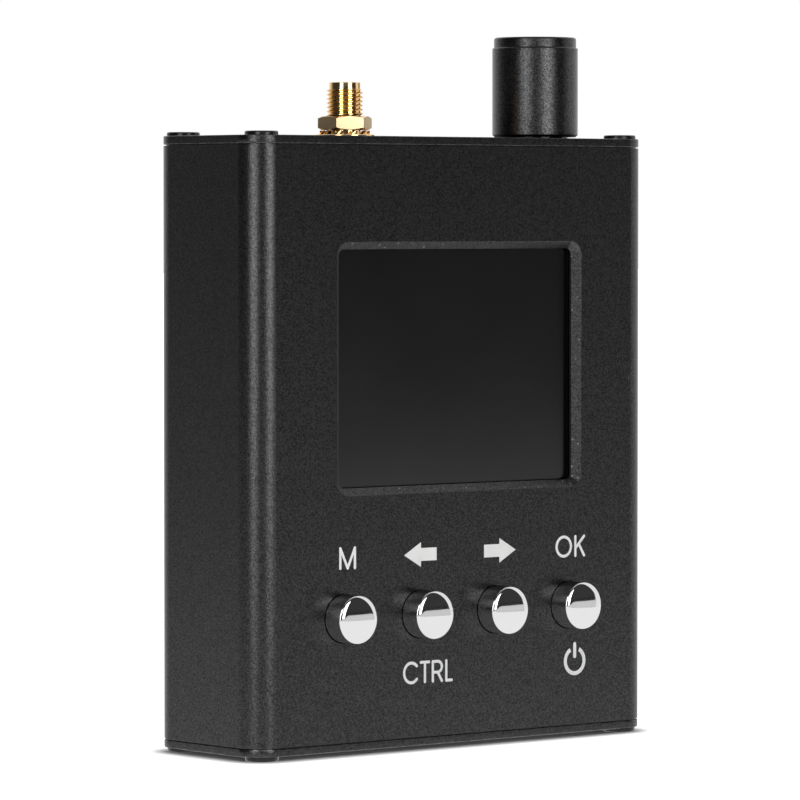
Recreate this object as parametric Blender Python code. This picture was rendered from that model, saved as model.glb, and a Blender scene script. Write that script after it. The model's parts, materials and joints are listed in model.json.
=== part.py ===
"""Handheld one-port vector network analyzer, modelled as it comes apart on a bench.

Lengths are in metres, +Z is up and the front panel faces -Y. The origin is on the surface that the
instrument stands on, below the middle of its bounding box.
"""

import math

import bmesh
import bpy
from mathutils import Matrix

MM = 0.001

# Clearances
SEAT = 0.2 * MM
SLIP = 0.3 * MM
RUNNING = 0.1 * MM
OVERCUT = 1.0 * MM
MERGE = 0.0001 * MM

# Case: an extruded sleeve with a flat plate on each end
CASE_WIDTH = 88.0 * MM
CASE_DEPTH = 28.0 * MM
CASE_LENGTH = 100.0 * MM
CASE_WALL = 1.5 * MM
CASE_CORNER = 4.7 * MM
PLATE_THICKNESS = 1.2 * MM
SEAM = 0.3 * MM
RIB_REACH = 2.0 * MM
RIB_THICKNESS = 1.2 * MM

# End plate screws and the channels that they bite into
SCREW_INSET_X = 4.0 * MM
SCREW_INSET_Y = 3.4 * MM
SCREW_HEAD_DIAMETER = 5.6 * MM
SCREW_HEAD_HEIGHT = 0.6 * MM
SCREW_HEAD_EDGE = 0.3 * MM
SCREW_SHANK_DIAMETER = 2.6 * MM
SCREW_SHANK_LENGTH = 9.0 * MM
SCREW_POINT = 0.5 * MM
SCREW_CROSS_SPAN = 2.6 * MM
SCREW_CROSS_WIDTH = 0.7 * MM
SCREW_CROSS_DEPTH = 0.35 * MM
CHANNEL_WALL = 1.4 * MM

# Screen opening, measured where its chamfer meets the panel face
WINDOW_WIDTH = 54.55 * MM
WINDOW_HEIGHT = 42.55 * MM
WINDOW_CORNER = 2.4 * MM
WINDOW_CHAMFER = 1.25 * MM
WINDOW_OFFSET = 0.72 * MM
WINDOW_TOP_MARGIN = 16.15 * MM

# Screen stack behind the opening, front to back
PANE_MARGIN = 3.0 * MM
PANE_THICKNESS = 0.8 * MM
GASKET_THICKNESS = 0.4 * MM
GASKET_SETBACK = 0.4 * MM
PANEL_WIDTH = 60.3 * MM
PANEL_HEIGHT = 42.7 * MM
PANEL_THICKNESS = 2.3 * MM
PANEL_CORNER = 0.5 * MM
DISPLAY_BOARD_MARGIN = 2.0 * MM
DISPLAY_BOARD_THICKNESS = 1.2 * MM
SPACER_DIAMETER = 4.5 * MM
SPACER_INSET = 3.5 * MM
HEADER_LENGTH = 36.0 * MM
HEADER_WIDTH = 2.5 * MM

# Keys: a cap over the plunger of a switch on the main board
KEY_NAMES = ("menu", "left", "right", "enter")
KEY_PITCH = 16.78 * MM
KEY_RISE = 20.85 * MM
KEY_DIAMETER = 8.15 * MM
KEY_PROUD = 4.45 * MM
KEY_EDGE = 0.5 * MM
KEY_TRAVEL = 0.3 * MM
KEY_LIP = 0.9 * MM
KEY_LIP_THICKNESS = 0.8 * MM
KEY_TAIL_DIAMETER = 6.4 * MM
KEY_TAIL_LENGTH = 2.0 * MM
KEY_FACE_THICKNESS = 5.6 * MM
PLUNGER_DIAMETER = 3.5 * MM
PLUNGER_EDGE = 0.3 * MM
SWITCH_SIZE = 6.0 * MM
SWITCH_HEIGHT = 3.3 * MM
SWITCH_WELL = 2.2 * MM
SWITCH_CORNER = 0.5 * MM

# Coaxial socket in the top plate
SOCKET_X = -13.5 * MM
SOCKET_RISE = 9.4 * MM
SOCKET_PILOT_DIAMETER = 5.3 * MM
SOCKET_PILOT_LENGTH = 1.2 * MM
SOCKET_MOUTH_DIAMETER = 4.6 * MM
SOCKET_MOUTH_DEPTH = 1.9 * MM
SOCKET_MOUTH_BEVEL = 0.15 * MM
THREAD_DIAMETER = 6.25 * MM
THREAD_DEPTH = 0.4 * MM
THREAD_PITCH = 25.4 / 36 * MM
FLANGE_SIZE = 9.6 * MM
FLANGE_THICKNESS = 1.8 * MM
PRONG_LENGTH = 3.5 * MM
PRONG_WIDTH = 1.2 * MM
PRONG_SPREAD = 3.4 * MM
INSULATOR_DIAMETER = 4.0 * MM
CONTACT_DIAMETER = 1.27 * MM
CONTACT_BORE_DIAMETER = 0.94 * MM
CONTACT_BORE_DEPTH = 2.0 * MM
CONTACT_TAIL_DIAMETER = 0.9 * MM
CONTACT_TAIL_LENGTH = 3.0 * MM
LOCK_WASHER_SHEET = 0.45 * MM
LOCK_WASHER_HEIGHT = 0.9 * MM
LOCK_WASHER_RIM = 1.025 * MM
LOCK_WASHER_TOOTH = 0.8 * MM
LOCK_WASHER_TOOTH_WIDTH = 1.0 * MM
LOCK_WASHER_TEETH = 10
SOCKET_NUT_WALL = 0.975 * MM
SOCKET_NUT_HEIGHT = 2.35 * MM
SOCKET_NUT_TURN = math.radians(33.3)
NUT_BEVEL = math.radians(30)

# Rotary encoder under the top plate, and the knob on its shaft
ENCODER_X = 29.6 * MM
ENCODER_SIZE = 12.0 * MM
ENCODER_HOUSING_HEIGHT = 5.0 * MM
ENCODER_FLOOR = 1.2 * MM
BUSHING_WALL = 0.4 * MM
BUSHING_RISE = 3.6 * MM
BUSHING_FLANGE = 1.5 * MM
SHAFT_DIAMETER = 6.0 * MM
SHAFT_FLAT = 1.5 * MM
SHAFT_FLAT_LENGTH = 10.0 * MM
SHAFT_KEY_SIZE = 3.4 * MM
ROTOR_DIAMETER = 9.0 * MM
ROTOR_THICKNESS = 2.0 * MM
ENCODER_WASHER_THICKNESS = 0.5 * MM
ENCODER_WASHER_RIM = 2.0 * MM
ENCODER_NUT_WALL = 1.5 * MM
ENCODER_NUT_HEIGHT = 2.0 * MM
ENCODER_BOARD_WIDTH = 16.0 * MM
ENCODER_BOARD_DEPTH = 14.0 * MM
ENCODER_HEADER_LENGTH = 8.0 * MM
ENCODER_HEADER_HEIGHT = 2.5 * MM
KNOB_DIAMETER = 15.0 * MM
KNOB_HEIGHT = 17.4 * MM
KNOB_LIFT = 0.5 * MM
KNOB_TRAVEL = 0.3 * MM
KNOB_CROWN_STEP = 0.3 * MM
KNOB_CROWN_HEIGHT = 1.6 * MM
KNOB_EDGE = 0.4 * MM
KNOB_FOOT_EDGE = 0.4 * MM
KNOB_ROOF = 3.0 * MM
GRUB_DIAMETER = 2.8 * MM
GRUB_RISE = 9.0 * MM
GRUB_SINK = 0.7 * MM
GRUB_KEY = 1.5 * MM
GRUB_KEY_DEPTH = 1.5 * MM

# Main board and what is on it
BOARD_THICKNESS = 1.6 * MM
BOARD_END_GAP = 0.5 * MM
BOARD_NOTCH_GAP = 1.5 * MM
CAN_WIDTH = 30.0 * MM
CAN_HEIGHT = 20.0 * MM
CAN_DEPTH = 3.5 * MM
CAN_WALL = 0.4 * MM
CAN_DROP = 5.0 * MM
CHIP_SIZE = 10.0 * MM
CHIP_THICKNESS = 1.4 * MM
CHIP_X = 22.0 * MM
CHIP_RISE = 58.0 * MM
CELL_WIDTH = 34.0 * MM
CELL_HEIGHT = 50.0 * MM
CELL_CORNER = 3.0 * MM
CELL_X = -18.0 * MM
CELL_RISE = 8.0 * MM
CELL_SWELL_GAP = 1.6 * MM
PAD_THICKNESS = 1.0 * MM
PAD_MARGIN = 4.0 * MM
LEAD_DIAMETER = 1.2 * MM
LEAD_SPREAD = 2.0 * MM
LEAD_POINTS = 14
PLUG_LENGTH = 4.0 * MM
PLUG_HEIGHT = 5.4 * MM
PLUG_DEPTH = 3.6 * MM
PLUG_GAP = 3.6 * MM
SOCKET_BLOCK_LENGTH = 5.0 * MM
SOCKET_BLOCK_HEIGHT = 6.4 * MM
SOCKET_BLOCK_DEPTH = 4.6 * MM
USB_X = 0.0 * MM
USB_WIDTH = 7.5 * MM
USB_DEPTH = 2.6 * MM
USB_LENGTH = 5.6 * MM
USB_WALL = 0.3 * MM
USB_BACK = 0.6 * MM
USB_CORNER = 0.5 * MM
USB_RECESS = 0.3 * MM
TONGUE_WIDTH = 3.7 * MM
TONGUE_THICKNESS = 0.7 * MM
TONGUE_SETBACK = 0.8 * MM

# Facets of round shapes
CORNER_STEPS = 6
SMALL_SIDES = 12
SCREW_SIDES = 16
KEY_SIDES = 32
SOCKET_SIDES = 24
KNOB_SIDES = 48
EDGE_STEPS = 3
SMOOTH_ANGLE = math.radians(35)

# Places worked out from the sizes above
FRONT = (KEY_PROUD - CASE_DEPTH) / 2
BACK = FRONT + CASE_DEPTH
MIDDLE = FRONT + CASE_DEPTH / 2
LOWER_PLATE_BOTTOM = SCREW_HEAD_HEIGHT + SEAT
LOWER_PLATE_TOP = LOWER_PLATE_BOTTOM + PLATE_THICKNESS
SLEEVE_BOTTOM = LOWER_PLATE_TOP + SEAM
SLEEVE_TOP = SLEEVE_BOTTOM + CASE_LENGTH
UPPER_PLATE_BOTTOM = SLEEVE_TOP + SEAM
UPPER_PLATE_TOP = UPPER_PLATE_BOTTOM + PLATE_THICKNESS
WINDOW_Z = SLEEVE_TOP - WINDOW_TOP_MARGIN - WINDOW_HEIGHT / 2
KEY_Z = SLEEVE_BOTTOM + KEY_RISE
CHANNEL_RADIUS = SCREW_SHANK_DIAMETER / 2 + SLIP

GASKET_FRONT = FRONT + CASE_WALL + SEAT
PANE_FRONT = GASKET_FRONT + GASKET_THICKNESS + SEAT
PANEL_FRONT = PANE_FRONT + PANE_THICKNESS + SEAT
DISPLAY_BOARD_FRONT = PANEL_FRONT + PANEL_THICKNESS + SEAT
DISPLAY_BOARD_BACK = DISPLAY_BOARD_FRONT + DISPLAY_BOARD_THICKNESS
DISPLAY_BOARD_WIDTH = PANEL_WIDTH + 2 * DISPLAY_BOARD_MARGIN
DISPLAY_BOARD_HEIGHT = PANEL_HEIGHT + 2 * DISPLAY_BOARD_MARGIN

BOARD_BACK = MIDDLE - CONTACT_TAIL_DIAMETER / 2 - SEAT
BOARD_FRONT = BOARD_BACK - BOARD_THICKNESS
BOARD_WIDTH = CASE_WIDTH - 2 * (CASE_WALL + SLIP)
BOARD_BOTTOM = SLEEVE_BOTTOM + BOARD_END_GAP
FLANGE_TOP = UPPER_PLATE_BOTTOM - SEAT
FLANGE_BOTTOM = FLANGE_TOP - FLANGE_THICKNESS
BOARD_TOP = FLANGE_BOTTOM - SLIP
PAD_FRONT = BOARD_BACK + SEAT
CELL_FRONT = PAD_FRONT + PAD_THICKNESS + SEAT
CELL_BACK = BACK - CASE_WALL - CELL_SWELL_GAP
CELL_TOP = SLEEVE_BOTTOM + CELL_RISE + CELL_HEIGHT

BUSHING_BORE = SHAFT_DIAMETER / 2 + RUNNING
BUSHING_RADIUS = BUSHING_BORE + BUSHING_WALL
BUSHING_TOP = UPPER_PLATE_TOP + BUSHING_RISE
BUSHING_FLANGE_TOP = UPPER_PLATE_BOTTOM - SEAT
BUSHING_FLANGE_BOTTOM = BUSHING_FLANGE_TOP - BUSHING_FLANGE
HOUSING_TOP = BUSHING_FLANGE_BOTTOM - SEAT
HOUSING_BOTTOM = HOUSING_TOP - ENCODER_HOUSING_HEIGHT
ENCODER_BOARD_TOP = HOUSING_BOTTOM - SEAT
ENCODER_BOARD_BOTTOM = ENCODER_BOARD_TOP - BOARD_THICKNESS
NOTCH_Z = ENCODER_BOARD_BOTTOM - ENCODER_HEADER_HEIGHT - 2 * SEAT
NOTCH_X = ENCODER_X - ENCODER_BOARD_WIDTH / 2 - BOARD_NOTCH_GAP
ENCODER_NUT_BOTTOM = UPPER_PLATE_TOP + ENCODER_WASHER_THICKNESS + 2 * SEAT
KNOB_BOTTOM = UPPER_PLATE_TOP + KNOB_LIFT
KNOB_TOP = KNOB_BOTTOM + KNOB_HEIGHT
KNOB_CEILING = BUSHING_TOP + KNOB_TRAVEL + SLIP
ROTOR_BOTTOM = HOUSING_BOTTOM + ENCODER_FLOOR + SEAT + KNOB_TRAVEL

TURN_TO_FRONT = Matrix.Rotation(math.radians(90), 4, "X")
TURN_OVER = Matrix.Rotation(math.radians(180), 4, "X")

# Finishes: colour, roughness and metallic value
BLACK_ANODISED = ((0.018, 0.018, 0.020), 0.42, 0.7)
BLACK_SCREW = ((0.010, 0.010, 0.011), 0.22, 0.8)
CHROME = ((0.80, 0.81, 0.83), 0.08, 1.0)
GOLD = ((0.83, 0.60, 0.25), 0.20, 1.0)
STEEL = ((0.60, 0.61, 0.63), 0.30, 1.0)
NICKEL = ((0.70, 0.69, 0.66), 0.25, 1.0)
SMOKED_PANE = ((0.012, 0.012, 0.014), 0.05, 0.0)
BLACK_FOAM = ((0.020, 0.020, 0.020), 0.95, 0.0)
BLACK_PLASTIC = ((0.025, 0.025, 0.027), 0.50, 0.0)
WHITE_PLASTIC = ((0.85, 0.84, 0.80), 0.45, 0.0)
WHITE_FOAM = ((0.80, 0.80, 0.78), 0.95, 0.0)
GREEN_BOARD = ((0.020, 0.120, 0.050), 0.40, 0.0)
SILVER_POUCH = ((0.62, 0.63, 0.65), 0.35, 0.6)
RED_LEAD = ((0.55, 0.03, 0.02), 0.50, 0.0)
BLACK_LEAD = ((0.02, 0.02, 0.02), 0.50, 0.0)


def clear_scene():
    for item in list(bpy.data.objects):
        bpy.data.objects.remove(item)


def finish_for(name, finish):
    """A material of the piece's own."""
    colour, roughness, metallic = finish
    material = bpy.data.materials.new(name)
    material.use_nodes = True
    shader = material.node_tree.nodes["Principled BSDF"]
    shader.inputs["Base Color"].default_value = (*colour, 1.0)
    shader.inputs["Roughness"].default_value = roughness
    shader.inputs["Metallic"].default_value = metallic
    return material


def place_object(item, at, turn, parent):
    bpy.context.scene.collection.objects.link(item)
    item.matrix_world = Matrix.Translation(at) @ (turn or Matrix())
    if parent:
        item.parent = parent
        item.matrix_parent_inverse = parent.matrix_world.inverted()


def piece(name, shape, finish, at=(0, 0, 0), turn=None, parent=None):
    """One sub-part from a bmesh, which is freed."""
    mesh = bpy.data.meshes.new(name)
    shape.to_mesh(mesh)
    shape.free()
    mesh.shade_smooth()
    mesh.set_sharp_from_angle(angle=SMOOTH_ANGLE)
    mesh.materials.append(finish_for(name, finish))
    item = bpy.data.objects.new(name, mesh)
    place_object(item, at, turn, parent)
    return item


def axis_empty(name, at):
    """An empty on a joint's axis, which the moving pieces are parented to."""
    empty = bpy.data.objects.new(name, None)
    place_object(empty, at, None, None)
    bpy.context.view_layer.update()
    return empty


def combine(target, shape, operation):
    """A live Boolean with a hidden tool that is modelled in the target's own coordinates."""
    name = f"{target.name}_{operation.lower()}_{len(target.modifiers)}"
    mesh = bpy.data.meshes.new(name)
    shape.to_mesh(mesh)
    shape.free()
    tool = bpy.data.objects.new(name, mesh)
    bpy.context.scene.collection.objects.link(tool)
    tool.parent = target
    tool.hide_render = True
    tool.display_type = "WIRE"
    modifier = target.modifiers.new(name, "BOOLEAN")
    modifier.operation = operation
    modifier.object = tool
    return tool


def cut(target, shape):
    return combine(target, shape, "DIFFERENCE")


def join(target, shape):
    return combine(target, shape, "UNION")


def moved(shape, x=0.0, y=0.0, z=0.0, turn=None):
    matrix = Matrix.Translation((x, y, z)) @ (turn or Matrix())
    bmesh.ops.transform(shape, matrix=matrix, verts=shape.verts)
    return shape


def rounded_rectangle(width, height, radius):
    """Outline points about the origin, anticlockwise."""
    points = []
    for quarter, (side_x, side_y) in enumerate(((1, 1), (-1, 1), (-1, -1), (1, -1))):
        centre_x = side_x * (width / 2 - radius)
        centre_y = side_y * (height / 2 - radius)
        for step in range(CORNER_STEPS + 1):
            angle = math.radians(90) * (quarter + step / CORNER_STEPS)
            points.append((centre_x + radius * math.cos(angle), centre_y + radius * math.sin(angle)))
    return points


def polygon(radius, sides, turn=0.0):
    """Corner points of a regular polygon about the origin."""
    angles = [turn + math.tau * side / sides for side in range(sides)]
    return [(radius * math.cos(angle), radius * math.sin(angle)) for angle in angles]


def prism(outline, low, high):
    """A closed prism over an outline in the XY plane."""
    shape = bmesh.new()
    base = shape.faces.new([shape.verts.new((x, y, low)) for x, y in outline])
    grown = bmesh.ops.extrude_face_region(shape, geom=[base])
    raised = [item for item in grown["geom"] if isinstance(item, bmesh.types.BMVert)]
    bmesh.ops.translate(shape, verts=raised, vec=(0, 0, high - low))
    bmesh.ops.recalc_face_normals(shape, faces=shape.faces)
    return shape


def box(low, high):
    """A box from its lowest to its highest corner."""
    outline = [(low[0], low[1]), (high[0], low[1]), (high[0], high[1]), (low[0], high[1])]
    return prism(outline, low[2], high[2])


def rod(radius, low, high, sides):
    return prism(polygon(radius, sides), low, high)


def turned(profile, sides, ring=False):
    """A solid of revolution about Z from (radius, height) points; a ring's profile is closed."""
    shape = bmesh.new()
    points = [shape.verts.new((radius, 0, height)) for radius, height in profile]
    pairs = list(zip(points, points[1:]))
    if ring:
        pairs.append((points[-1], points[0]))
    edges = [shape.edges.new(pair) for pair in pairs]
    bmesh.ops.spin(
        shape,
        geom=points + edges,
        cent=(0, 0, 0),
        axis=(0, 0, 1),
        angle=math.tau,
        steps=sides,
        use_merge=True,
    )
    bmesh.ops.remove_doubles(shape, verts=shape.verts, dist=MERGE)
    bmesh.ops.recalc_face_normals(shape, faces=shape.faces)
    return shape


def tapered_opening(width, height, corner, chamfer, depth):
    """Cutter for a chamfered opening whose wide edge lies at z = 0 and which runs down to -depth."""
    shape = bmesh.new()
    rings = []
    for grow, level in ((OVERCUT, OVERCUT), (-chamfer, -chamfer), (-chamfer, -depth)):
        outline = rounded_rectangle(width + 2 * grow, height + 2 * grow, corner + grow)
        rings.append([shape.verts.new((x, y, level)) for x, y in outline])
    shape.faces.new(rings[0])
    shape.faces.new(rings[-1])
    for upper, lower in zip(rings, rings[1:]):
        for index in range(len(upper)):
            shape.faces.new((upper[index - 1], upper[index], lower[index], lower[index - 1]))
    bmesh.ops.recalc_face_normals(shape, faces=shape.faces)
    return shape


def quarter_round(radius, height, edge):
    """Points of a rounded outer edge that ends at the given radius and height, side first."""
    angles = [math.radians(90) * step / EDGE_STEPS for step in range(EDGE_STEPS + 1)]
    return [
        (radius - edge + edge * math.cos(angle), height - edge + edge * math.sin(angle))
        for angle in angles
    ]


def screw_places():
    """Name and place of the four screws of an end plate."""
    places = []
    for row, y in (("front", FRONT + SCREW_INSET_Y), ("back", BACK - SCREW_INSET_Y)):
        for side, x in (("left", SCREW_INSET_X - CASE_WIDTH / 2), ("right", CASE_WIDTH / 2 - SCREW_INSET_X)):
            places.append((f"{row}_{side}", x, y))
    return places


def key_places():
    middle = (len(KEY_NAMES) - 1) / 2
    return [(name, (index - middle) * KEY_PITCH) for index, name in enumerate(KEY_NAMES)]


def sleeve_bore():
    """The inside of the sleeve as a solid, longer than the sleeve."""
    low = SLEEVE_BOTTOM - OVERCUT
    high = SLEEVE_TOP + OVERCUT
    outline = rounded_rectangle(
        CASE_WIDTH - 2 * CASE_WALL, CASE_DEPTH - 2 * CASE_WALL, CASE_CORNER - CASE_WALL
    )
    return moved(prism(outline, low, high), y=MIDDLE)


def cut_channels_and_ribs(bore):
    """Takes the screw channels and the board's ribs out of the bore, so that the sleeve keeps them."""
    low = SLEEVE_BOTTOM - 2 * OVERCUT
    high = SLEEVE_TOP + 2 * OVERCUT
    for _, x, y in screw_places():
        cut(bore, moved(rod(CHANNEL_RADIUS + CHANNEL_WALL, low, high, 2 * SMALL_SIDES), x, y))
    outer = CASE_WIDTH / 2 - CASE_WALL / 2
    inner = CASE_WIDTH / 2 - CASE_WALL - RIB_REACH
    for near in (BOARD_FRONT - SLIP - RIB_THICKNESS, BOARD_BACK + SLIP):
        far = near + RIB_THICKNESS
        cut(bore, box((inner, near, low), (outer, far, high)))
        cut(bore, box((-outer, near, low), (-inner, far, high)))


def make_sleeve():
    outline = rounded_rectangle(CASE_WIDTH, CASE_DEPTH, CASE_CORNER)
    shape = moved(prism(outline, SLEEVE_BOTTOM, SLEEVE_TOP), y=MIDDLE)
    sleeve = piece("case_sleeve", shape, BLACK_ANODISED)
    cut_channels_and_ribs(cut(sleeve, sleeve_bore()))
    for _, x, y in screw_places():
        channel = rod(CHANNEL_RADIUS, SLEEVE_BOTTOM - OVERCUT, SLEEVE_TOP + OVERCUT, SMALL_SIDES)
        cut(sleeve, moved(channel, x, y))
    depth = CASE_WALL + OVERCUT
    opening = tapered_opening(WINDOW_WIDTH, WINDOW_HEIGHT, WINDOW_CORNER, WINDOW_CHAMFER, depth)
    cut(sleeve, moved(opening, WINDOW_OFFSET, FRONT, WINDOW_Z, TURN_TO_FRONT))
    for _, x in key_places():
        hole = rod(KEY_DIAMETER / 2 + SLIP, -depth, OVERCUT, KEY_SIDES)
        cut(sleeve, moved(hole, x, FRONT, KEY_Z, TURN_TO_FRONT))


def make_end_plate(name, bottom):
    outline = rounded_rectangle(CASE_WIDTH, CASE_DEPTH, CASE_CORNER)
    shape = moved(prism(outline, bottom, bottom + PLATE_THICKNESS), y=MIDDLE)
    plate = piece(name, shape, BLACK_ANODISED)
    for _, x, y in screw_places():
        drill(plate, bottom, CHANNEL_RADIUS, x, y)
    return plate


def drill(plate, bottom, radius, x, y):
    """A round hole through an end plate."""
    hole = rod(radius, bottom - OVERCUT, bottom + PLATE_THICKNESS + OVERCUT, SOCKET_SIDES)
    cut(plate, moved(hole, x, y))


def make_plates():
    upper = make_end_plate("top_plate", UPPER_PLATE_BOTTOM)
    drill(upper, UPPER_PLATE_BOTTOM, THREAD_DIAMETER / 2 + SLIP, SOCKET_X, MIDDLE)
    drill(upper, UPPER_PLATE_BOTTOM, BUSHING_RADIUS + SLIP, ENCODER_X, MIDDLE)
    lower = make_end_plate("bottom_plate", LOWER_PLATE_BOTTOM)
    slot = rounded_rectangle(USB_WIDTH + 2 * SLIP, USB_DEPTH + 2 * SLIP, USB_CORNER + SLIP)
    low = LOWER_PLATE_BOTTOM - OVERCUT
    cut(lower, moved(prism(slot, low, LOWER_PLATE_TOP + OVERCUT), USB_X, usb_middle()))


def make_screw(name, at, turn):
    """A low round head with a cross recess; z = 0 is the underside of the head."""
    shank = SCREW_SHANK_DIAMETER / 2
    profile = [
        (0, -SCREW_SHANK_LENGTH),
        (shank - SCREW_POINT, -SCREW_SHANK_LENGTH),
        (shank, SCREW_POINT - SCREW_SHANK_LENGTH),
        (shank, 0),
        (SCREW_HEAD_DIAMETER / 2, 0),
        (SCREW_HEAD_DIAMETER / 2, SCREW_HEAD_HEIGHT - SCREW_HEAD_EDGE),
        (SCREW_HEAD_DIAMETER / 2 - SCREW_HEAD_EDGE, SCREW_HEAD_HEIGHT),
        (0, SCREW_HEAD_HEIGHT),
    ]
    screw = piece(name, turned(profile, SCREW_SIDES), BLACK_SCREW, at, turn)
    arm = SCREW_CROSS_SPAN / 2
    half = SCREW_CROSS_WIDTH / 2
    outline = []
    for side_x, side_y in ((1, 1), (-1, 1), (-1, -1), (1, -1)):
        corner = [(side_x * arm, side_y * half), (side_x * half, side_y * half), (side_x * half, side_y * arm)]
        outline += corner if side_x == side_y else corner[::-1]
    cut(screw, prism(outline, SCREW_HEAD_HEIGHT - SCREW_CROSS_DEPTH, SCREW_HEAD_HEIGHT + OVERCUT))


def make_screws():
    for corner, x, y in screw_places():
        make_screw(f"top_screw_{corner}", (x, y, UPPER_PLATE_TOP + SEAT), None)
        make_screw(f"bottom_screw_{corner}", (x, y, LOWER_PLATE_BOTTOM - SEAT), TURN_OVER)


def key_cap():
    """A turned cap; z = 0 is the panel face and +z points out of it."""
    lip_front = -CASE_WALL - SLIP
    lip_back = lip_front - KEY_LIP_THICKNESS
    tail = lip_back - KEY_TAIL_LENGTH
    well = PLUNGER_DIAMETER / 2 + SEAT
    floor = KEY_PROUD - KEY_FACE_THICKNESS
    radius = KEY_DIAMETER / 2
    profile = [
        (0, floor),
        (well, floor),
        (well, tail),
        (KEY_TAIL_DIAMETER / 2, tail),
        (KEY_TAIL_DIAMETER / 2, lip_back),
        (radius + KEY_LIP, lip_back),
        (radius + KEY_LIP, lip_front),
        (radius, lip_front),
    ]
    profile += quarter_round(radius, KEY_PROUD, KEY_EDGE)
    profile.append((0, KEY_PROUD))
    return turned(profile, KEY_SIDES)


def make_keys():
    board = FRONT - BOARD_FRONT
    switch_back = board + SEAT
    switch_front = switch_back + SWITCH_HEIGHT
    well_floor = switch_front - SWITCH_WELL
    plunger_back = well_floor + KEY_TRAVEL + SEAT
    plunger_front = KEY_PROUD - KEY_FACE_THICKNESS - SEAT
    radius = PLUNGER_DIAMETER / 2
    plunger_profile = [
        (0, plunger_back),
        (radius, plunger_back),
        (radius, plunger_front - PLUNGER_EDGE),
        (radius - PLUNGER_EDGE, plunger_front),
        (0, plunger_front),
    ]
    switch_outline = rounded_rectangle(SWITCH_SIZE, SWITCH_SIZE, SWITCH_CORNER)
    for name, x in key_places():
        at = (x, FRONT, KEY_Z)
        axis = axis_empty(f"{name}_key_axis", at)
        piece(f"{name}_key_cap", key_cap(), CHROME, at, TURN_TO_FRONT, axis)
        plunger = turned(plunger_profile, SMALL_SIDES)
        piece(f"{name}_key_plunger", plunger, BLACK_PLASTIC, at, TURN_TO_FRONT, axis)
        body = prism(switch_outline, switch_back, switch_front)
        switch = piece(f"{name}_key_switch", body, BLACK_PLASTIC, at, TURN_TO_FRONT)
        cut(switch, rod(radius + SEAT, well_floor, switch_front + OVERCUT, SMALL_SIDES))


def upright_sheet(outline, front, thickness):
    """A sheet that stands behind the panel, with its outline seen from the front."""
    return moved(prism(outline, -thickness, 0), WINDOW_OFFSET, front, WINDOW_Z, TURN_TO_FRONT)


def make_display():
    inner_width = WINDOW_WIDTH - 2 * WINDOW_CHAMFER
    inner_height = WINDOW_HEIGHT - 2 * WINDOW_CHAMFER
    corner = WINDOW_CORNER - WINDOW_CHAMFER
    rim = rounded_rectangle(inner_width + 2 * PANE_MARGIN, inner_height + 2 * PANE_MARGIN, corner)
    gasket = piece("display_gasket", upright_sheet(rim, GASKET_FRONT, GASKET_THICKNESS), BLACK_FOAM)
    hole = rounded_rectangle(inner_width + 2 * GASKET_SETBACK, inner_height + 2 * GASKET_SETBACK, corner)
    cut(gasket, upright_sheet(hole, GASKET_FRONT - OVERCUT, GASKET_THICKNESS + 2 * OVERCUT))
    piece("display_pane", upright_sheet(rim, PANE_FRONT, PANE_THICKNESS), SMOKED_PANE)
    panel = rounded_rectangle(PANEL_WIDTH, PANEL_HEIGHT, PANEL_CORNER)
    piece("display_panel", upright_sheet(panel, PANEL_FRONT, PANEL_THICKNESS), STEEL)
    board = rounded_rectangle(DISPLAY_BOARD_WIDTH, DISPLAY_BOARD_HEIGHT, PANEL_CORNER)
    sheet = upright_sheet(board, DISPLAY_BOARD_FRONT, DISPLAY_BOARD_THICKNESS)
    piece("display_board", sheet, GREEN_BOARD)
    make_display_supports()


def make_display_supports():
    """Spacers and a pin header between the display board and the main board."""
    front = DISPLAY_BOARD_BACK + SEAT
    back = BOARD_FRONT - SEAT
    reach_x = DISPLAY_BOARD_WIDTH / 2 - SPACER_INSET
    reach_z = DISPLAY_BOARD_HEIGHT / 2 - SPACER_INSET
    for row, z in (("upper", WINDOW_Z + reach_z), ("lower", WINDOW_Z - reach_z)):
        for side, x in (("left", WINDOW_OFFSET - reach_x), ("right", WINDOW_OFFSET + reach_x)):
            spacer = rod(SPACER_DIAMETER / 2, front - back, 0, SMALL_SIDES)
            name = f"display_spacer_{row}_{side}"
            piece(name, spacer, WHITE_PLASTIC, (x, front, z), TURN_TO_FRONT)
    low = (WINDOW_OFFSET - HEADER_LENGTH / 2, front, WINDOW_Z - reach_z - HEADER_WIDTH / 2)
    high = (WINDOW_OFFSET + HEADER_LENGTH / 2, back, WINDOW_Z - reach_z + HEADER_WIDTH / 2)
    piece("display_header", box(low, high), BLACK_PLASTIC)


def socket_heights():
    """Heights of the socket's lock washer, nut and thread above the top plate."""
    washer = SEAT
    nut = washer + LOCK_WASHER_HEIGHT + SEAT
    return washer, nut, nut + SOCKET_NUT_HEIGHT


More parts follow.
